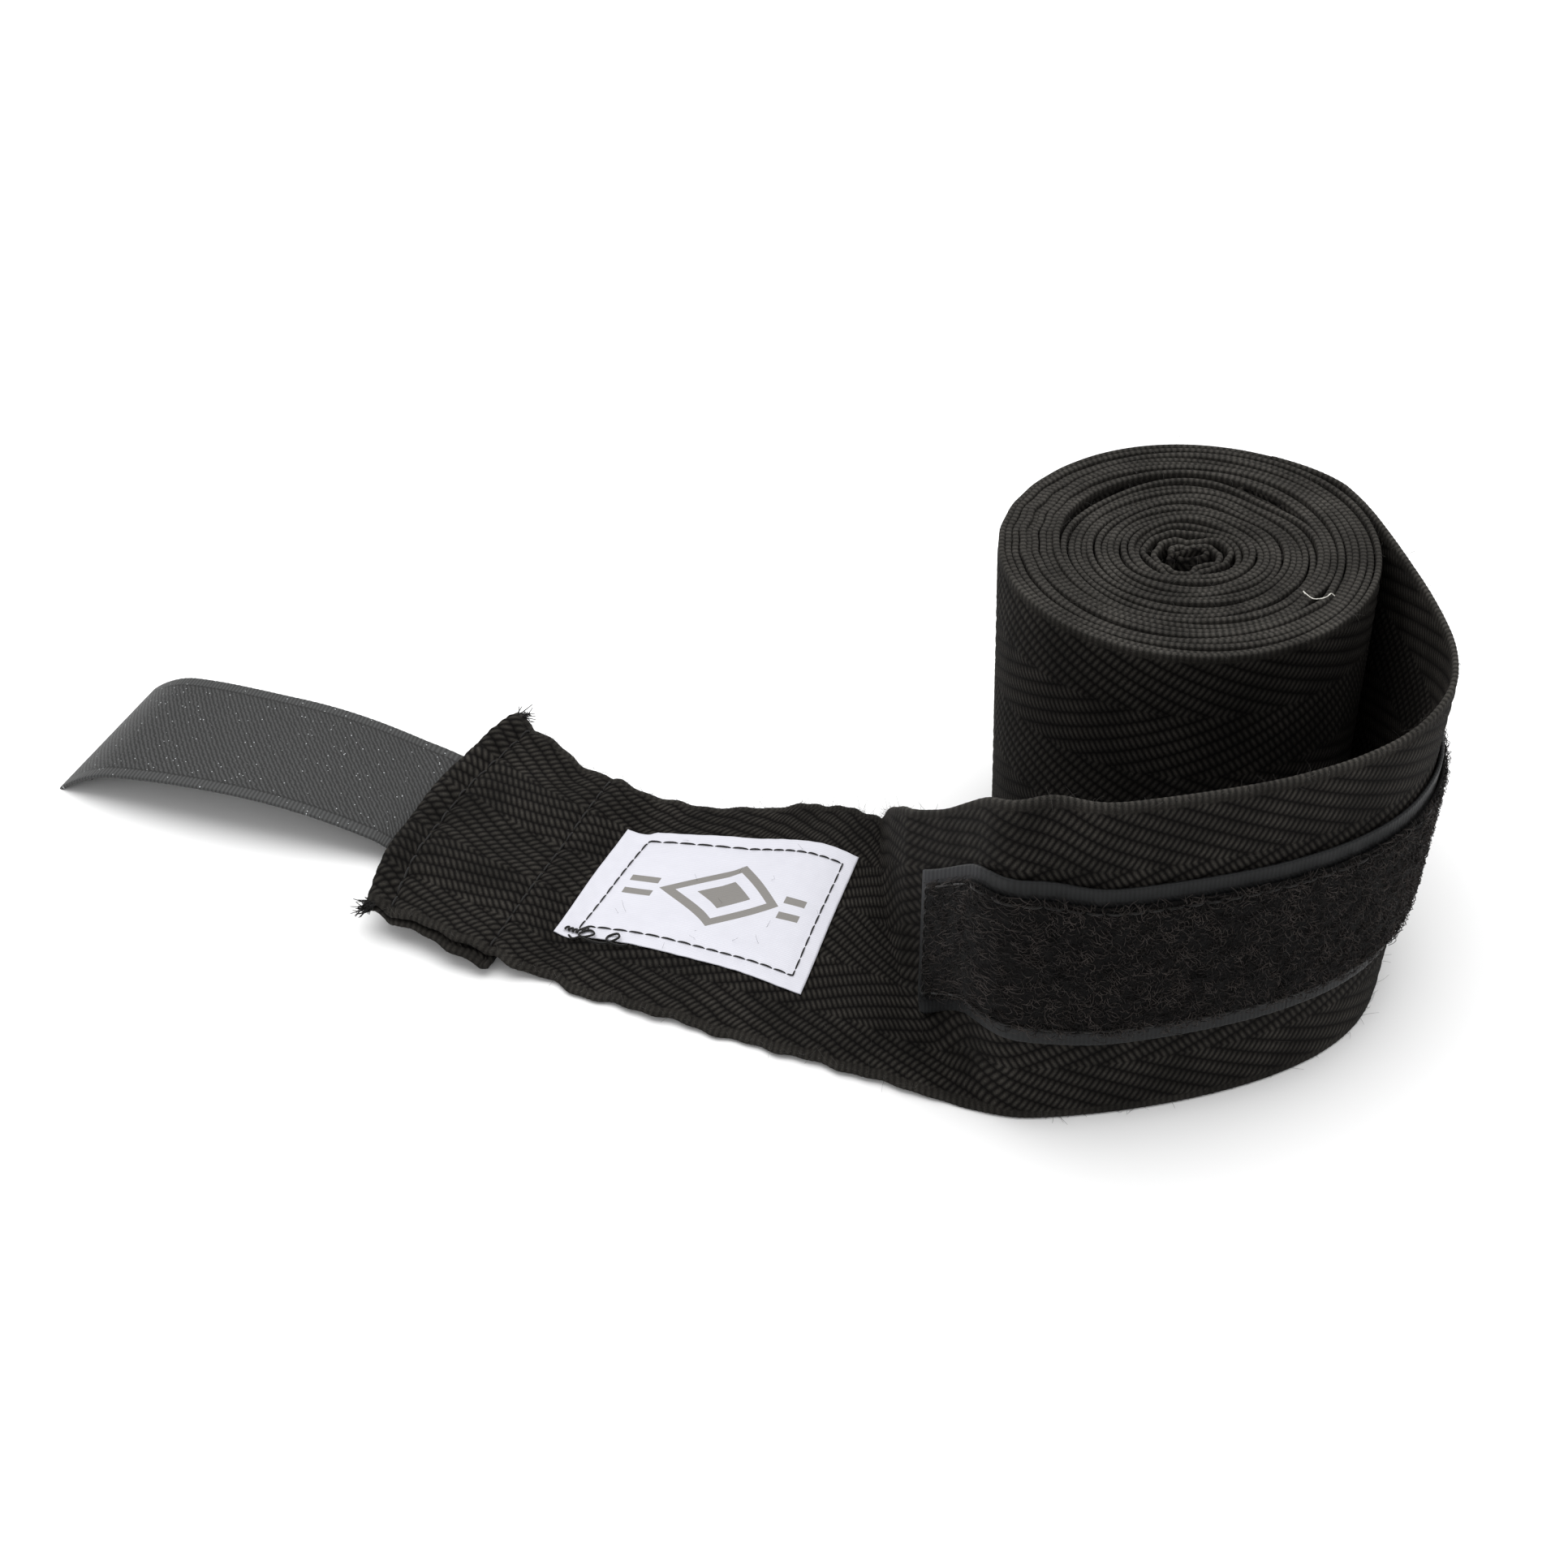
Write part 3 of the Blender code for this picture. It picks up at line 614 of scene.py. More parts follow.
pleat_plan = [(ROLL_AXIS[0] + r * math.cos(math.radians(a)),
               ROLL_AXIS[1] + r * math.sin(math.radians(a))) for a, r in PLEAT_KEYS]
PLEAT_LOW, PLEAT_HIGH, BAND_HALF = 0.0008, 0.0494, 0.00034
pleat, pleat_length = standing_band("pleat_in_turns", pleat_plan, PLEAT_LOW, PLEAT_HIGH,
                                    edge_ribs, EDGED, BAND_HALF)
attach(pleat, "roll")

# The thumb loop.
# A narrow band sewn to the tape's inner end, which goes over the thumb. It lies pressed flat in the
# middle of the roll.

LOOP_BAND = 0.0120
loop_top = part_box("thumb_loop")[1][2] - 0.0014
LOOP_KEYS = ((-2.5, -0.5), (-2.9, 0.3), (-1.9, 1.0), (0.2, 1.15), (2.1, 1.0), (2.8, 0.2),
             (2.2, -0.75), (0.5, -0.9), (-1.0, -0.6), (-1.5, 0.1))
loop_turn = math.radians(22)
loop_plan = [(ROLL_AXIS[0] + (x * math.cos(loop_turn) - y * math.sin(loop_turn)) * 0.001,
              ROLL_AXIS[1] + (x * math.sin(loop_turn) + y * math.cos(loop_turn)) * 0.001)
             for x, y in LOOP_KEYS]


def band_relief(station, across):
    """Ribs along the loop band's edges."""
    ribs = 0.5 + 0.5 * np.cos(2 * math.pi * station / RIB_PITCH)
    edge = np.minimum(across, LOOP_BAND - across)
    return 0.00007 * ribs * smooth(1 - edge / 0.002)


thumb, thumb_length = standing_band("thumb_loop_band", loop_plan, loop_top - LOOP_BAND, loop_top,
                                    band_relief, np.linspace(0.0, 1.0, 16), BAND_HALF)
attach(thumb, "roll")
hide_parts("thumb_loop")

# The loop patch.
# A strip of 25 mm nylon loop tape, sewn round its edge to the outer face. Its ground is woven, with
# a smooth ribbed margin; the rest is a brushed pile of fine loops that the hooks catch in.

PATCH_LOW, PATCH_HIGH = 0.0125, 0.0375
PATCH_START, PATCH_END = 0.028, 0.125
PATCH_CLIMB, CLIMB_START, CLIMB_RUN = 0.0021, 0.098, 0.024
GROUND_OUT, GROUND_HALF = 0.00107, 0.00024
PILE_MARGIN = 0.0022
PILE_BASE = 0.00135  # how far out the pile's roots are


def ribbed(station, across):
    """Fine ribs across the margins of a nylon tape."""
    return 0.00004 * (0.5 + 0.5 * np.cos(2 * math.pi * station / 0.0006))


def patch_middle(station, across):
    """The tape's middle under the patch, which is sewn a little higher towards the fold."""
    climb = PATCH_CLIMB * smooth((station - CLIMB_START) / CLIMB_RUN)
    return tape_middle(station, across + climb)


def on_tape(out):
    """The surface this far out from the tape's middle."""
    return lambda station, across: moved_out(patch_middle, station, across, out + 0 * across)


def nylon(name, dark, light, painted_glint_share, centre):
    """Spun nylon tape: a close diagonal weave between ribbed margins, with painted pale glints."""
    made, tree, shader = new_material(name, {
        "Roughness": 0.55, "IOR": 1.53, "Specular IOR Level": 0.2, "Sheen Weight": 0.02,
        "Sheen Roughness": 0.4})
    uv = add_node(tree, "ShaderNodeUVMap", {}, uv_map="weave").outputs["UV"]
    diagonal = add_node(tree, "ShaderNodeMapping",
                        {"Vector": uv, "Rotation": (0.0, 0.0, math.radians(38))})
    # the twill's lines and the margins' ribs are both 0.6 mm apart
    twill = add_node(tree, "ShaderNodeTexWave",
                     {"Vector": diagonal.outputs["Vector"], "Scale": 520.0, "Distortion": 3.2,
                      "Detail": 2.0, "Detail Scale": 2.5})
    ribs = add_node(tree, "ShaderNodeTexWave", {"Vector": uv, "Scale": 530.0, "Distortion": 0.4},
                    bands_direction="X")
    grain = add_node(tree, "ShaderNodeTexNoise", {"Vector": uv, "Scale": 3600.0, "Detail": 3.0})
    place = add_node(tree, "ShaderNodeSeparateXYZ", {0: uv})
    aside = ("ABSOLUTE", ("SUBTRACT", place.outputs["Y"], centre))
    margin = add_node(tree, "ShaderNodeMapRange",
                      {0: aside, 1: 0.0104, 2: 0.0107, 3: 0.0, 4: 1.0})
    groove = ("COMPARE", aside, 0.0105, 0.00022)
    weave = add_node(tree, "ShaderNodeMix",
                     {0: margin.outputs[0],
                      2: ("MULTIPLY", twill.outputs["Fac"], grain.outputs["Fac"]),
                      3: ("MULTIPLY_ADD", ribs.outputs["Fac"], 0.45, 0.18)}, data_type="FLOAT")
    weave = ("MULTIPLY_ADD", groove, -0.25, weave.outputs[0])
    tone = add_node(tree, "ShaderNodeMix", {0: weave, 6: linear(dark), 7: linear(light)},
                    data_type="RGBA")
    # painted glints: pale specks in the colour of some cells, where filaments would catch the light
    glint = add_node(tree, "ShaderNodeTexVoronoi", {"Vector": uv, "Scale": 1500.0})
    picked = add_node(tree, "ShaderNodeSeparateColor", {"Color": glint.outputs["Color"]})
    painted_glint = ("MULTIPLY", ("LESS_THAN", glint.outputs["Distance"], 0.13),
                ("LESS_THAN", picked.outputs["Red"], painted_glint_share))
    lit = add_node(tree, "ShaderNodeMix",
                   {0: painted_glint, 6: tone.outputs[2], 7: linear("#b9bcbe")}, data_type="RGBA")
    tree.links.new(lit.outputs[2], shader.inputs["Base Color"])
    bump = add_node(tree, "ShaderNodeBump",
                    {"Strength": 0.6, "Distance": 0.0001, "Height": weave})
    tree.links.new(bump.outputs["Normal"], shader.inputs["Normal"])
    return made


LOOP_NYLON = nylon("woven_nylon_loop_tape", "#060607", "#191b1c", 0.0, 0.025)
patch = woven_sheet("loop_patch_ground", on_tape(GROUND_OUT),
                    every(0.00045, PATCH_START, PATCH_END), (PATCH_LOW, PATCH_HIGH), GROUND_HALF,
                    ribbed, LOOP_NYLON, np.linspace(0.0, 1.0, 60), arc=3)
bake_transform(patch)
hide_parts("loop_patch_side", "loop_patch_front")
patch_length = length_of(on_tape(GROUND_OUT), every(0.001, PATCH_START, PATCH_END), 0.025)


def pile_relief(station, across):
    """The brushed pile is lumpy, and lies lower at its edges."""
    lumps = (np.sin(station * 2600 + 3 * np.sin(across * 900))
             * np.sin(across * 2300 + 2.0 * np.sin(station * 800))
             + np.sin(station * 1250 + across * 1900) * 0.6)
    edge = np.minimum(across - PATCH_LOW - PILE_MARGIN, PATCH_HIGH - PILE_MARGIN - across)
    end = np.minimum(station - PATCH_START, PATCH_END - 0.0012 - station)
    full = smooth(edge / 0.0012) * smooth(end / 0.002)
    sewn = hump(edge, 0.0009, 0.0005)
    return 0.00010 * lumps * full - 0.00022 * (1 - full) - 0.00018 * sewn


def brushed_nylon():
    """Nylon loops raised by brushing: a soft, tangled, nearly black nap."""
    made, tree, shader = new_material("brushed_nylon_pile", {
        "Roughness": 0.8, "Specular IOR Level": 0.1, "Sheen Weight": 0.02,
        "Sheen Roughness": 0.35})
    uv = add_node(tree, "ShaderNodeUVMap", {}, uv_map="weave").outputs["UV"]
    tangle = add_node(tree, "ShaderNodeTexNoise",
                      {"Vector": uv, "Scale": 1300.0, "Detail": 5.0, "Distortion": 2.2})
    tone = add_node(tree, "ShaderNodeValToRGB", {"Fac": tangle.outputs["Fac"]})
    tone.color_ramp.elements[0].position = 0.38
    tone.color_ramp.elements[0].color = linear("#020202")
    tone.color_ramp.elements[1].position = 0.66
    tone.color_ramp.elements[1].color = linear("#0f0d0c")
    tree.links.new(tone.outputs["Color"], shader.inputs["Base Color"])
    bump = add_node(tree, "ShaderNodeBump",
                    {"Strength": 1.0, "Distance": 0.0004, "Height": tangle.outputs["Fac"]})
    tree.links.new(bump.outputs["Normal"], shader.inputs["Normal"])
    return made


BRUSHED = brushed_nylon()
pile = woven_sheet("loop_patch_pile", on_tape(PILE_BASE + 0.00045),
                   every(0.00050, PATCH_START + 0.0005, PATCH_END - 0.0012),
                   (PATCH_LOW + PILE_MARGIN, PATCH_HIGH - PILE_MARGIN), 0.00042, pile_relief,
                   BRUSHED, np.linspace(0.0, 1.0, 44), arc=3)
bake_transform(pile)
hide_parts("loop_pile_side", "loop_pile_front")


def strands(name, paths, radii, finish, sides=3, reference=(0.0, 0.0, 1.0)):
    """Thin round strands, one along each of the paths, joined into one mesh.

    paths is strands x points x 3, and radii is one radius for each point along a strand.
    """
    count, length, _ = paths.shape
    along = np.gradient(paths, axis=1)
    along /= np.maximum(np.linalg.norm(along, axis=-1, keepdims=True), 1e-12)
    first = np.cross(along, np.broadcast_to(reference, along.shape))
    first /= np.maximum(np.linalg.norm(first, axis=-1, keepdims=True), 1e-9)
    second = np.cross(along, first)
    turn = 2 * math.pi * np.arange(sides) / sides
    ring = (first[..., None, :] * np.cos(turn)[:, None]
            + second[..., None, :] * np.sin(turn)[:, None])
    points = paths[..., None, :] + ring * np.broadcast_to(radii, (count, length))[..., None, None]
    here = np.arange(count * length * sides).reshape(count, length, sides)
    after = np.roll(here, -1, axis=2)
    walls = np.stack([here[:, :-1], after[:, :-1], after[:, 1:], here[:, 1:]], -1)
    faces = walls.reshape(-1, 4).tolist() + here[:, 0, ::-1].tolist() + here[:, -1].tolist()
    return add_piece(name, points, faces, finish)


def spun_thread(name, code, roughness, sheen, grain=2600.0, contrast=0.45):
    """Twisted yarn or filament, one tone with a little variation along it."""
    made, tree, shader = new_material(name, {
        "Roughness": roughness, "Specular IOR Level": 0.15, "Sheen Weight": sheen})
    coords = add_node(tree, "ShaderNodeTexCoord", {})
    twist = add_node(tree, "ShaderNodeTexNoise",
                     {"Vector": coords.outputs["Object"], "Scale": grain, "Detail": 2.0})
    shade = add_node(tree, "ShaderNodeMapRange",
                     {0: twist.outputs["Fac"], 1: 0.3, 2: 0.7, 3: 1 - contrast, 4: 1 + contrast})
    tone = add_node(tree, "ShaderNodeMix", {0: 1.0, 6: linear(code), 7: shade.outputs[0]},
                    data_type="RGBA", blend_type="MULTIPLY")
    tree.links.new(tone.outputs[2], shader.inputs["Base Color"])
    return made


# The pile's own loops stand out of the nap, each a curl of one filament
dice = np.random.default_rng(7)
LOOPS = 7000
NYLON_FILAMENT = spun_thread("nylon_filament", "#2c2826", 0.6, 0.0, grain=420.0, contrast=0.9)
curl = np.linspace(0, 1, 5)
at = dice.uniform(PATCH_START + 0.0007, PATCH_END - 0.0018, LOOPS)[:, None]
up = dice.uniform(PATCH_LOW + PILE_MARGIN, PATCH_HIGH - PILE_MARGIN, LOOPS)[:, None]
lean = dice.uniform(0, 2 * math.pi, LOOPS)[:, None]
reach = dice.uniform(0.0007, 0.0022, LOOPS)[:, None]
side = dice.normal(0, 0.35, LOOPS)[:, None] * reach * np.sin(math.pi * curl)
loop_at = at + np.cos(lean) * reach * (curl - 0.5) - np.sin(lean) * side
loop_up = up + np.sin(lean) * reach * (curl - 0.5) + np.cos(lean) * side
loop_up = np.clip(loop_up, PATCH_LOW + 0.0012, PATCH_HIGH - 0.0012)
loop_at = np.clip(loop_at, PATCH_START + 0.0003, PATCH_END - 0.0008)
stand = dice.uniform(0.00025, 0.00085, LOOPS)[:, None] * np.sin(math.pi * curl)
loop_paths = moved_out(patch_middle, loop_at, loop_up, PILE_BASE + 0.00062 + stand)
loops = strands("loop_patch_loops", loop_paths, np.full(5, 0.000050), NYLON_FILAMENT,
                reference=(0.31, 0.22, 0.93))
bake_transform(loops)

# The stitches.
# Lockstitch in black polyester, about 2.6 mm to a stitch. Each stitch stands a little proud in its
# middle and dives between the yarns at its ends.

THREAD = spun_thread("polyester_thread", "#131211", 0.55, 0.1)
THREAD_R = 0.00016
PATCH_STITCH, HEM_STITCH, LABEL_STITCH = 0.0026, 0.0030, 0.0023


def stitches(name, row, last, pitch, proud=0.00016, ahead=0.10, thick=THREAD_R):
    """One row of stitches. row(distance, out) gives points along it, last is where it ends."""
    count = max(1, int(round(last / pitch)))
    start = np.arange(count)[:, None] * (last / count)
    x = np.linspace(0.0, 1.0, 7)
    run = start + (ahead / 2 + (1 - ahead) * x) * (last / count)
    rise = thick * 0.6 + proud * np.sin(math.pi * x) ** 0.6 - 1.4 * thick * (np.abs(2 * x - 1) ** 5)
    radii = thick * (0.72 + 0.28 * np.sin(math.pi * x))
    return strands(name, row(run, rise + 0 * run), radii, THREAD, sides=6,
                   reference=(0.13, 0.2, 0.97))


def along_corners(corners):
    """Distances at a path's corners, and a function from distance to its two coordinates."""
    corners = np.array(corners, float)
    length = np.append(0.0, np.cumsum(np.linalg.norm(np.diff(corners, axis=0), axis=1)))
    return length[-1], lambda d: [np.interp(d, length, corners[:, k]) for k in (0, 1)]


SEAM_IN = 0.0031
patch_last, patch_at = along_corners(
    ((PATCH_START + 0.0005, PATCH_LOW + SEAM_IN), (PATCH_END - 0.0015, PATCH_LOW + SEAM_IN),
     (PATCH_END - 0.0015, PATCH_HIGH - SEAM_IN), (PATCH_START + 0.0005, PATCH_HIGH - SEAM_IN)))


def patch_row(distance, out):
    """Points along the patch's row of stitches."""
    station, across = patch_at(distance)
    return moved_out(patch_middle, station, across, PILE_BASE + 0.00070 + out)


patch_seam = stitches("loop_patch_stitches", patch_row, patch_last, PATCH_STITCH)
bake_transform(patch_seam)
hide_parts("patch_seam_side", "patch_seam_front")


HEM_ROW_IN = 0.0012  # how far in from the selvedges a row starts and stops


def hem_row(station):
    """A row of stitches across the hem, as a function that gives points along it."""
    return lambda distance, out: hem_surface(station + 0 * distance, HEM_ROW_IN + distance,
                                             TAPE_HALF + 0.00006 + out)


for name, station in zip(("outer", "inner"), HEM_ROWS):
    hem_seam = stitches("hem_stitches_" + name, hem_row(station), TAPE_WIDTH - 2 * HEM_ROW_IN,
                        HEM_STITCH)
    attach(hem_seam, "tail_end")
    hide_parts("hem_seam_" + name)

# The hook tab.
# A 25 mm strip of nylon hook tape whose root is sewn under the hem. Its plain woven side faces up;
# 900 moulded hooks stand on the side that faces the ground.

TAB_HALF = 0.00026
TAB_CENTRE, TAB_WIDTH, TAB_FREE, TAB_HIDDEN = 0.027, 0.025, 0.0570, 0.014
TAB_OUT = -0.002325
TAB_COURSE = ((0.000, 0), (0.006, 8), (0.028, 4), (0.0570, -5))
TAB_CLIMB = ((0.000, 22), (0.012, 15), (0.026, 2), (0.038, -4), (0.046, -11), (0.050, -26),
             (0.0570, -44))
TAB_TWIST = ((0.000, 0), (0.030, 0), (0.0570, 5))


def under_hem(station, across):
    """Points midway through the tab's hidden root."""
    station, across = paired(station, across)
    return moved_out(free_middle, station, across, TAB_OUT + 0 * across, 0.0004)


def tab_frame():
    """Where the tab leaves the hem, its direction and its crosswise direction."""
    edge = TAPE_END + HEM_BOW
    root = under_hem(edge, TAB_CENTRE)
    across = under_hem(edge, TAB_CENTRE + 0.010) - under_hem(edge, TAB_CENTRE - 0.010)
    across /= np.linalg.norm(across)
    along = np.cross((0.0, 0.0, 1.0), across)
    return root, along / np.linalg.norm(along), across


TAB_ROOT, TAB_ALONG, TAB_ACROSS = tab_frame()


def tab_arch():
    """Stations, run, drift and rise of the tab's middle line, and its turn."""
    stations = np.linspace(0.0, TAB_FREE + 0.002, 120)
    turn = np.radians(value_at(TAB_COURSE, stations))
    climb = np.radians(value_at(TAB_CLIMB, stations))
    step = stations[1]
    run = np.append(0.0, np.cumsum(np.cos(turn[:-1]) * np.cos(climb[:-1]) * step))
    drift = np.append(0.0, np.cumsum(-np.sin(turn[:-1]) * np.cos(climb[:-1]) * step))
    rise = np.append(0.0, np.cumsum(np.sin(climb[:-1]) * step))
    return stations, run, drift, rise, turn


ARCH = tab_arch()


def tab_middle(distance, aside):
    """Points on the tab: distance out from the hem, and aside of its middle line."""
    distance, aside = paired(distance, aside)
    hidden = under_hem(TAPE_END + HEM_BOW + np.minimum(distance, 0.0), TAB_CENTRE + aside)
    run, drift, rise, turn = (np.interp(distance, ARCH[0], ARCH[i]) for i in (1, 2, 3, 4))
    twist = np.tan(np.radians(value_at(TAB_TWIST, distance)))
    level = np.stack([TAB_ACROSS[0] + 0 * twist, TAB_ACROSS[1] + 0 * twist, twist], -1)
    across = TAB_ACROSS + (level - TAB_ACROSS) * smooth(distance / TAB_FREE)[..., None]
    across = across / np.linalg.norm(across, axis=-1, keepdims=True)
    across = across * np.cos(turn)[..., None] + TAB_ALONG * np.sin(turn)[..., None]
    out = (TAB_ROOT + TAB_ALONG * run[..., None] + TAB_ACROSS * drift[..., None]
           + np.array([0.0, 0.0, 1.0]) * rise[..., None] + across * aside[..., None])
    return np.where((distance < 0)[..., None], hidden, out)


# its woven back gets painted glints in about three cells in ten
HOOK_NYLON = nylon("woven_nylon_hook_tape", "#1b1b1b", "#4f5050", 0.30, 0.0)


def tab_relief(station, across):
    """Ribbed margins and a shallow diagonal weave between them."""
    edge = TAB_WIDTH / 2 - np.abs(across)
    ribs = 0.5 + 0.5 * np.cos(2 * math.pi * station / 0.0007)
    weave = 0.5 + 0.5 * np.cos(2 * math.pi * (station + 0.8 * across) / 0.0011)
    margin = smooth(1 - (edge - 0.0014) / 0.0004)
    return 0.00005 * ribs * margin + 0.000018 * weave * (1 - margin)


tab = woven_sheet("hook_tape", tab_middle, every(0.00042, -TAB_HIDDEN, TAB_FREE),
                  (-TAB_WIDTH / 2, TAB_WIDTH / 2), TAB_HALF, tab_relief, HOOK_NYLON,
                  np.linspace(0.0, 1.0, 64), arc=3)
tab_middle(-0.0005, 0.0)
tab_middle(0.0065, 0.0)
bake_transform(tab)
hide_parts("hook_tab_root", "hook_tab")

HOOK_PITCH, HOOK_RISE = 0.00105, 0.00135
rows, files = np.meshgrid(np.arange(0.0065, TAB_FREE - 0.0035, HOOK_PITCH),
                          np.arange(-0.0100, 0.0101, HOOK_PITCH), indexing="ij")
rows, files = rows.ravel(), files.ravel()
facing = np.where((np.round(files / HOOK_PITCH).astype(int) % 2) == 0, 1.0, -1.0)
hook_bend = np.array((0.0, 0.02, 0.12, 0.34, 0.50, 0.46))
hook_down = np.array((0.0, 0.45, 0.85, 1.0, 0.86, 0.66))
hook_at = rows[:, None] + facing[:, None] * hook_bend * 0.0009
hook_paths = moved_out(tab_middle, hook_at, files[:, None] + 0 * hook_at,
                       -(TAB_HALF - 0.00005 + hook_down * HOOK_RISE) + 0 * hook_at)
HOOKS = spun_thread("moulded_nylon_hooks", "#1b1c1d", 0.35, 0.0)
hooks = strands("tab_hooks", hook_paths, np.array((1.3, 1.1, 1.0, 0.95, 0.8, 0.5)) * 0.00010, HOOKS,
                sides=4, reference=(-0.32, -0.95, 0.05))
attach(hooks, "tab")
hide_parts("hook_field")

# The label.
# White polyester satin ribbon, cut square and sewn down by one rectangle of stitches, with a bar
# tack and a snarl of loose thread at its corner by the hem. It carries a plain grey device.

LABEL_CORNERS = ((0.1832, 0.0108), (0.1445, 0.0108), (0.1432, 0.0400), (0.1828, 0.0395))
LABEL_BOW, LABEL_HALF, LABEL_OUT = 0.0012, 0.00011, 0.00072
LABEL_LENGTH, LABEL_HEIGHT, LABEL_SEAM_IN = 0.0385, 0.0290, 0.0027


def label_place(length, height):
    """Station and across of a place on the label, given from its corner by the hem."""
    low_left, low_right, top_right, top_left = (np.array(c) for c in LABEL_CORNERS)
    u = (length / LABEL_LENGTH)[..., None]
    low = low_left + (low_right - low_left) * u
    top = top_left + (top_right - top_left) * u
    place = low + (top - low) * (height / LABEL_HEIGHT)[..., None]
    # its end by the hem was folded under and sewn lower than the rest, which bows up from there
    bow = LABEL_BOW * 1.3 * np.sin(math.pi * np.clip(u[..., 0], 0.0, 1.0) ** 0.7) * smooth(
        (u[..., 0] - 0.085) / 0.03)
    return place[..., 0], place[..., 1] + bow


def puckers(length, height):
    """The satin draws in along its stitches and lifts between them and at its edges."""
    edge = np.minimum(np.minimum(length, LABEL_LENGTH - length),
                      np.minimum(height, LABEL_HEIGHT - height))
    seam = hump(edge, LABEL_SEAM_IN, 0.0008)
    wave = np.sin(length * 1900 + 2) * np.sin(height * 1500 + length * 400)
    swell = 0.5 + 0.5 * np.sin(length * 330 + height * 210)
    lift = smooth((edge - LABEL_SEAM_IN) / 0.004) * swell
    return 0.00016 * lift - 0.00010 * seam + 0.00004 * wave * (1 - smooth(edge / 0.006))


def label_surface(length, height, out=0.0):
    """Points this far out from the label's middle surface."""
    length, height = paired(length, height)
    station, across = label_place(length, height)
    return hem_surface(station, across, LABEL_OUT + puckers(length, height) + out)


def white_satin():
    """Woven polyester satin, dyed white: long floats give it a soft sheen across the ribbon."""
    made, tree, shader = new_material("white_polyester_satin", {
        "Roughness": 0.42, "IOR": 1.55, "Specular IOR Level": 0.4, "Sheen Weight": 0.2})
    uv = add_node(tree, "ShaderNodeUVMap", {}, uv_map="weave").outputs["UV"]
    floats = add_node(tree, "ShaderNodeTexWave", {"Vector": uv, "Scale": 900.0, "Distortion": 1.0,
                                                  "Detail": 2.0}, bands_direction="Y")
    slub = add_node(tree, "ShaderNodeTexNoise", {"Vector": uv, "Scale": 420.0, "Detail": 3.0})
    weave = ("MULTIPLY", floats.outputs["Fac"], slub.outputs["Fac"])
    satin = add_node(tree, "ShaderNodeMix",
                     {0: weave, 6: linear("#bcbcc4"), 7: linear("#cfcfd7")},
                     data_type="RGBA")
    # the device: an outlined lozenge between two pairs of rules
    place = add_node(tree, "ShaderNodeSeparateXYZ", {0: uv})
    x = ("ABSOLUTE", ("SUBTRACT", place.outputs["X"], LABEL_LENGTH / 2))
    y = ("ABSOLUTE", ("SUBTRACT", place.outputs["Y"], LABEL_HEIGHT / 2))
    lozenge = ("ADD", ("MULTIPLY", x, 0.8), y)
    ring = ("MULTIPLY", ("LESS_THAN", lozenge, 0.0076), ("GREATER_THAN", lozenge, 0.0058))
    core = ("LESS_THAN", lozenge, 0.0034)
    rule = ("LESS_THAN", ("ABSOLUTE", ("SUBTRACT", y, 0.0016)), 0.00070)
    span = ("MULTIPLY", ("GREATER_THAN", x, 0.0100), ("LESS_THAN", x, 0.0140))
    device = ("MAXIMUM", ("MAXIMUM", ring, core), ("MULTIPLY", rule, span))
    print_ = add_node(tree, "ShaderNodeMix",
                      {0: device, 6: satin.outputs[2], 7: linear("#6f6c68")}, data_type="RGBA")
    tree.links.new(print_.outputs[2], shader.inputs["Base Color"])
    bump = add_node(tree, "ShaderNodeBump",
                    {"Strength": 0.35, "Distance": 0.00006, "Height": weave})
    tree.links.new(bump.outputs["Normal"], shader.inputs["Normal"])
    return made


SATIN = white_satin()
label = woven_sheet("satin_label", label_surface, every(0.0004, 0.0, LABEL_LENGTH),
                    (0.0, LABEL_HEIGHT), LABEL_HALF, lambda s, t: 0 * s, SATIN,
                    np.linspace(0.0, 1.0, 74), arc=1, twist=0)
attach(label, "tail_end")
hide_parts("label")

seam_last, seam_at = along_corners(((0.0030, 0.0028), (0.0362, 0.0026), (0.0362, 0.0264),
                                    (0.0042, 0.0262), (0.0030, 0.0028)))


def label_row(distance, out):
    """Points along the label's rectangle of stitches."""
    return label_surface(*seam_at(distance), LABEL_HALF + out)


label_seam = stitches("label_stitches", label_row, seam_last, LABEL_STITCH, proud=0.00009,
                      ahead=0.03, thick=0.00012)
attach(label_seam, "tail_end")
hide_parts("label_seam")

zigzag = np.arange(11)
tack_points = np.stack([0.0012 + zigzag * 0.00035, 0.0013 + 0.0009 * (zigzag % 2)], -1)
tack_x, tack_y = tack_points[:-1], tack_points[1:]
share = np.linspace(0, 1, 5)
tack_flat = tack_x[:, None, :] + (tack_y - tack_x)[:, None, :] * share[None, :, None]
tack_station, tack_across = label_place(tack_flat[..., 0], tack_flat[..., 1])
tack = strands("label_bar_tack", hem_surface(tack_station, tack_across,
               LABEL_OUT + 0.0003 + 0.0002 * np.sin(math.pi * share) + 0 * tack_across),
               np.full(5, 0.00017), THREAD, sides=5, reference=(0.1, 0.2, 0.97))
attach(tack, "tail_end")
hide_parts("label_tack")

# Loose thread.
# The machine's tail of thread is snarled at the label's corner, the hem's corners have frayed into
# tufts, and a few fibres stand out of the cloth.

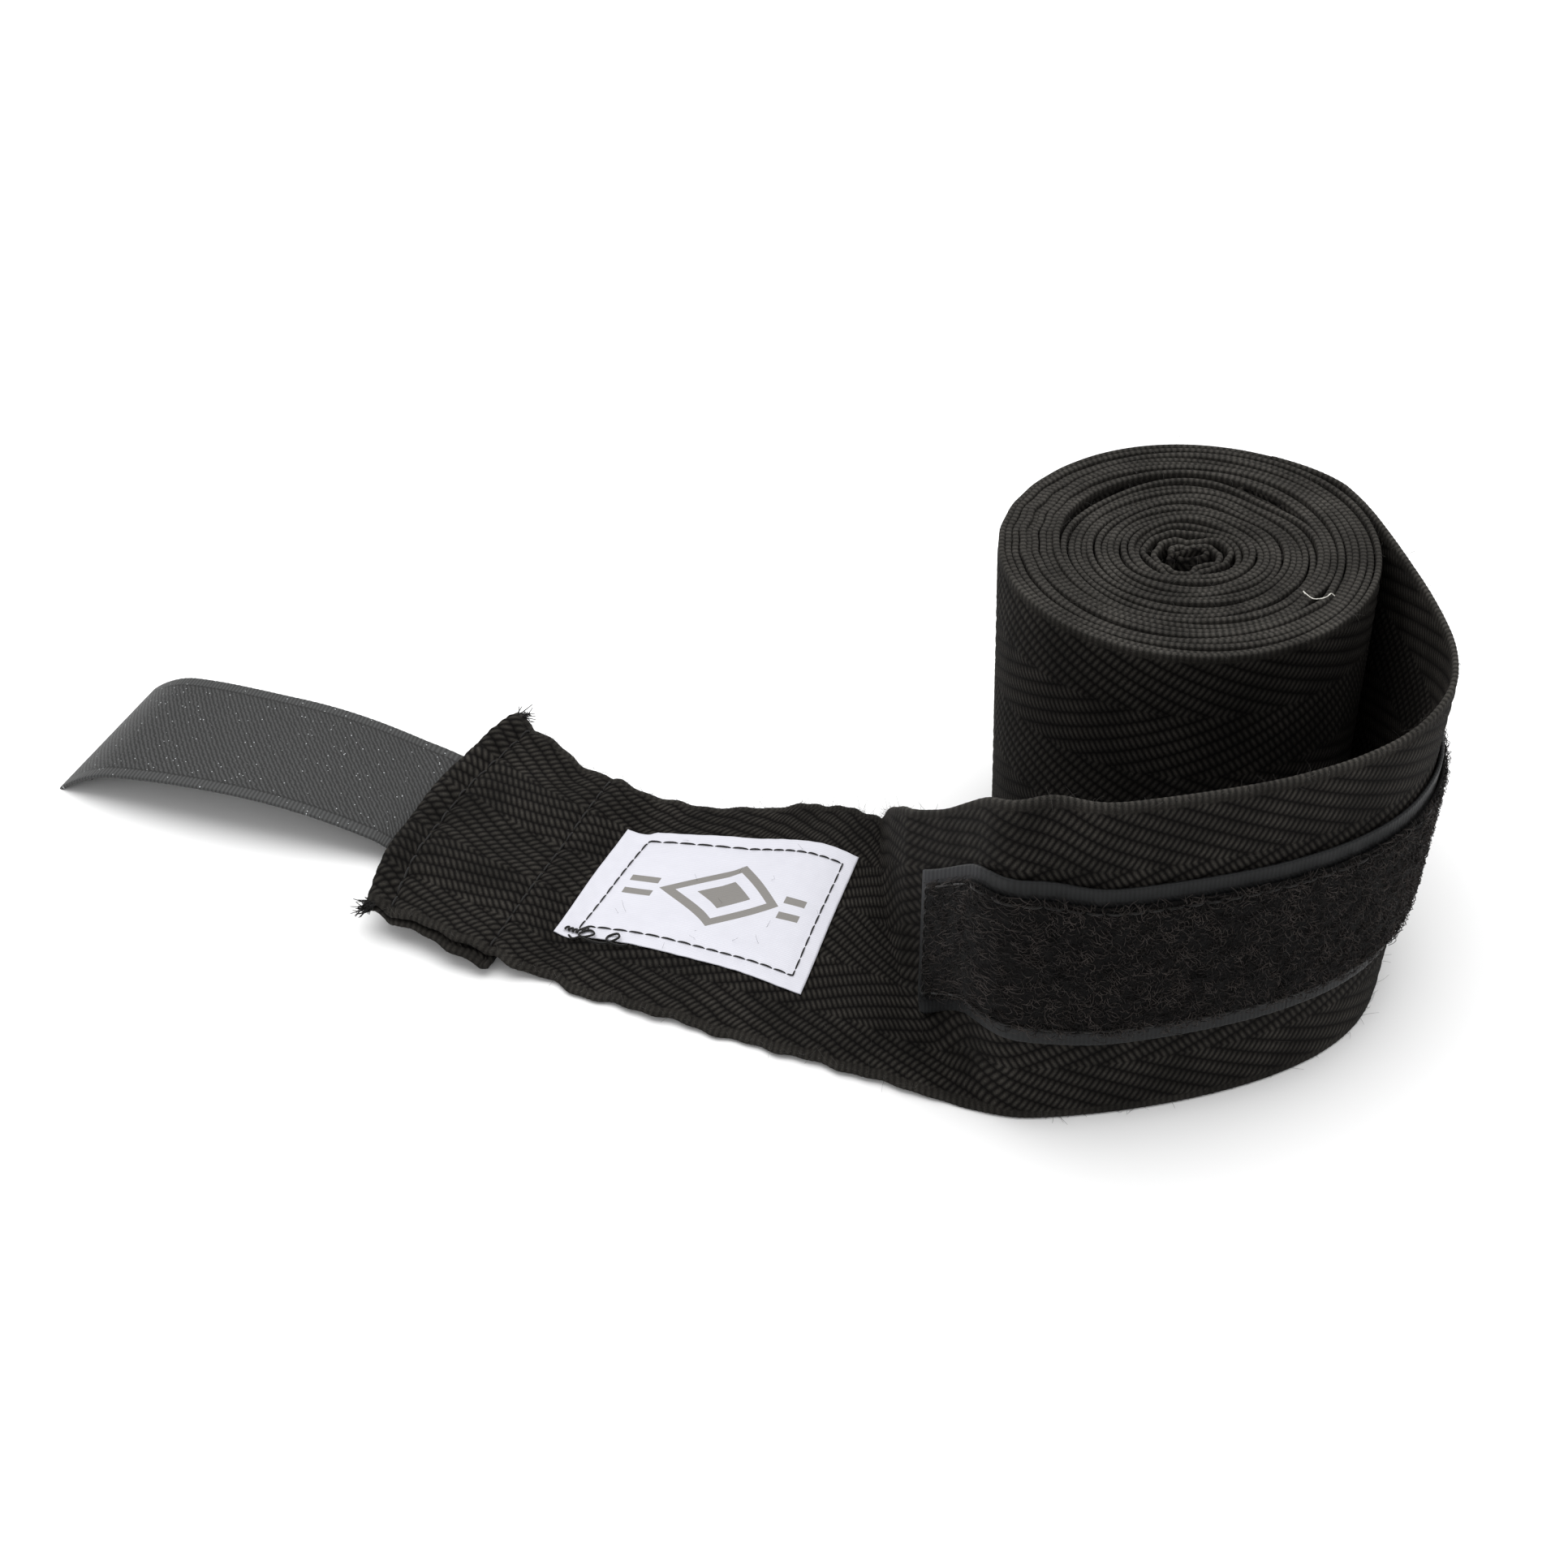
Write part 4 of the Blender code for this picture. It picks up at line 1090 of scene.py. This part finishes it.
SNARL = ((2.2, 0.6, 0.1), (3.4, -0.4, 0.5), (5.0, -0.9, 0.9), (6.0, 0.2, 0.8), (5.0, 1.4, 0.5),
         (3.9, 0.6, 0.6), (4.6, -1.0, 0.9), (6.8, -1.4, 0.5), (8.3, -1.0, 0.4), (9.6, 0.1, 0.9),
         (9.0, 1.2, 0.7), (7.9, 0.5, 0.4), (8.4, -0.9, 0.7), (10.0, -1.0, 0.3), (11.0, -0.3, 0.1))
snarl, _ = smooth_path(SNARL, 130)
snarl_station, snarl_across = label_place(snarl[:, 0] * 0.001, snarl[:, 1] * 0.001)
snarl_path = hem_surface(snarl_station, snarl_across, 0.0007 + snarl[:, 2] * 0.0008)
snarled = strands("snarled_thread", snarl_path[None], np.full(130, 0.00017), THREAD, sides=6,
                  reference=(0.1, 0.15, 0.98))
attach(snarled, "tail_end")

FLUFF = spun_thread("cotton_fibre", "#161514", 0.9, 0.05)


def fibres(roots, directions, lengths, curl, points=6):
    """Curved fibres from their roots, given unit directions and lengths."""
    x = np.linspace(0, 1, points)
    bend = dice.normal(0, 1, (len(roots), 3))
    bend /= np.linalg.norm(bend, axis=1, keepdims=True)
    grow = directions[:, None, :] * x[None, :, None]
    curve = bend[:, None, :] * (curl * x ** 2)[None, :, None]
    return roots[:, None, :] + (grow + curve) * lengths[:, None, None]


def tuft(across, away, count):
    """Frayed yarn ends at a corner of the hem."""
    start = hem_middle(TAPE_END + TURN_LENGTH * dice.uniform(-0.4, 1.0, count),
                       across + dice.uniform(-0.0006, 0.0006, count))
    way = np.array(away) + dice.normal(0, 0.33, (count, 3))
    way /= np.linalg.norm(way, axis=1, keepdims=True)
    return fibres(start, way, dice.uniform(0.0006, 0.0021, count), 0.55)


tufts = np.concatenate([tuft(0.0004, (-0.75, -0.45, 0.0), 90),
                        tuft(TAPE_WIDTH - 0.0004, (0.85, 0.10, 0.10), 70)])
frayed = strands("frayed_hem_corners", tufts, np.linspace(1.0, 0.45, 6) * 0.00013, FLUFF)
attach(frayed, "tail_end")

# Lint: single fibres that stand out of the brushed cotton, mostly along its edges
LINT = spun_thread("cotton_lint", "#302e2b", 0.9, 0.1)


def lint(name, first, last, edges, count, longest):
    """Single fibres on the tape between two stations, crowded towards the edges named."""
    station = dice.uniform(first, last, count)
    across = np.where(dice.uniform(0, 1, count) < 0.7, dice.choice(edges, count) * TAPE_WIDTH,
                      dice.uniform(0.02, 0.98, count) * TAPE_WIDTH)
    across = np.clip(across, 0.0002, TAPE_WIDTH - 0.0002)
    side = np.where(dice.uniform(0, 1, count) < 0.75, 1.0, -1.0) * TAPE_HALF
    roots = moved_out(tape_middle, station, across, side)
    outward = (roots - tape_middle(station, across)) / TAPE_HALF
    way = 0.6 * outward + dice.normal(0, 0.6, (count, 3))
    way[:, 2] = np.abs(way[:, 2])
    way /= np.linalg.norm(way, axis=1, keepdims=True)
    paths = fibres(roots, way, dice.uniform(0.25, 1.0, count) ** 2 * longest, 0.7)
    made = strands(name, paths, np.linspace(1.0, 0.6, 6) * 0.000022, LINT)
    return made


roll_lint = lint("lint_on_roll", -WOUND_LENGTH, -0.004, (1.0,), 2400, 0.0016)
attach(roll_lint, "roll")
wall_lint = lint("lint_on_wall", 0.002, 0.110, (1.0, 0.0), 500, 0.0016)
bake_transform(wall_lint)
end_lint = lint("lint_on_end", 0.125, 0.205, (1.0, 0.0), 600, 0.0018)
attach(end_lint, "tail_end")

# A white thread caught in the slot where two turns part at the front right of the roll
caught, _ = smooth_path(((-2.2, -0.4, 1.0), (-2.4, 0.5, 0.9), (-1.7, 0.1, 0.4), (-0.9, -0.7, 0.3),
                         (0.3, -0.8, 0.4), (1.3, -0.4, 0.5), (2.0, 0.3, 0.6), (2.6, 0.2, 0.2)), 60)
middle_of_slot = ROLL_AXIS + SLOT_RADIUS * np.array((math.cos(math.radians(SLOT_ANGLE)),
                                                     math.sin(math.radians(SLOT_ANGLE))))
caught = caught * 0.00085 + (*middle_of_slot, TAPE_WIDTH)
WHITE_COTTON = spun_thread("undyed_cotton_thread", "#c9c7bf", 0.85, 0.1)
white_end = strands("white_thread_end", caught[None], np.full(60, 0.00008), WHITE_COTTON, sides=5,
                    reference=(0.1, 0.15, 0.98))
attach(white_end, "roll")

# The studio.
# A seamless white floor under a large overhead softbox, with a broad fill from the front.

bpy.ops.mesh.primitive_plane_add(size=6.0, location=(ROLL_AXIS[0], ROLL_AXIS[1], 0.0))
floor = bpy.context.object
floor.name = "studio_floor"
# Matt seamless paper, bright enough to vanish into the walls
paper, _, _ = new_material("white_paper_sweep", {"Base Color": linear("#f2f2f2"), "Roughness": 0.9})
floor.data.materials.append(paper)

world = bpy.data.worlds.new("studio_walls")
bpy.context.scene.world = world
world.use_nodes = True
world.node_tree.nodes["Background"].inputs["Color"].default_value = (1.0, 1.0, 1.0, 1.0)
world.node_tree.nodes["Background"].inputs["Strength"].default_value = 0.74


def softbox(name, place, aim, size, power):
    """A rectangular lamp that faces a point."""
    lamp = bpy.data.lights.new(name, "AREA")
    lamp.shape = "RECTANGLE"
    lamp.size, lamp.size_y = size
    lamp.energy = power
    made = bpy.data.objects.new(name, lamp)
    made.location = place
    way = np.array(aim, float) - np.array(place, float)
    made.rotation_euler = Vector(way).to_track_quat("-Z", "Y").to_euler()
    bpy.context.scene.collection.objects.link(made)


softbox("overhead_softbox", (0.02, 0.16, 0.75), (0.0, 0.0, 0.0), (1.3, 1.0), 8.5)
softbox("front_fill", (-0.35, -0.75, 0.45), (0.0, 0.0, 0.02), (0.8, 0.5), 1.0)

camera = bpy.data.cameras.new("camera")
camera.lens = 70.51
camera.sensor_width = 36.0
camera_stand = bpy.data.objects.new("camera", camera)
camera_stand.location = (ROLL_AXIS[0] - 0.0557, ROLL_AXIS[1] - 0.3526, 0.284)
camera_stand.rotation_euler = (math.radians(52), 0.0, 0.0)
bpy.context.scene.collection.objects.link(camera_stand)
bpy.context.scene.camera = camera_stand
bpy.context.scene.view_settings.view_transform = "Standard"
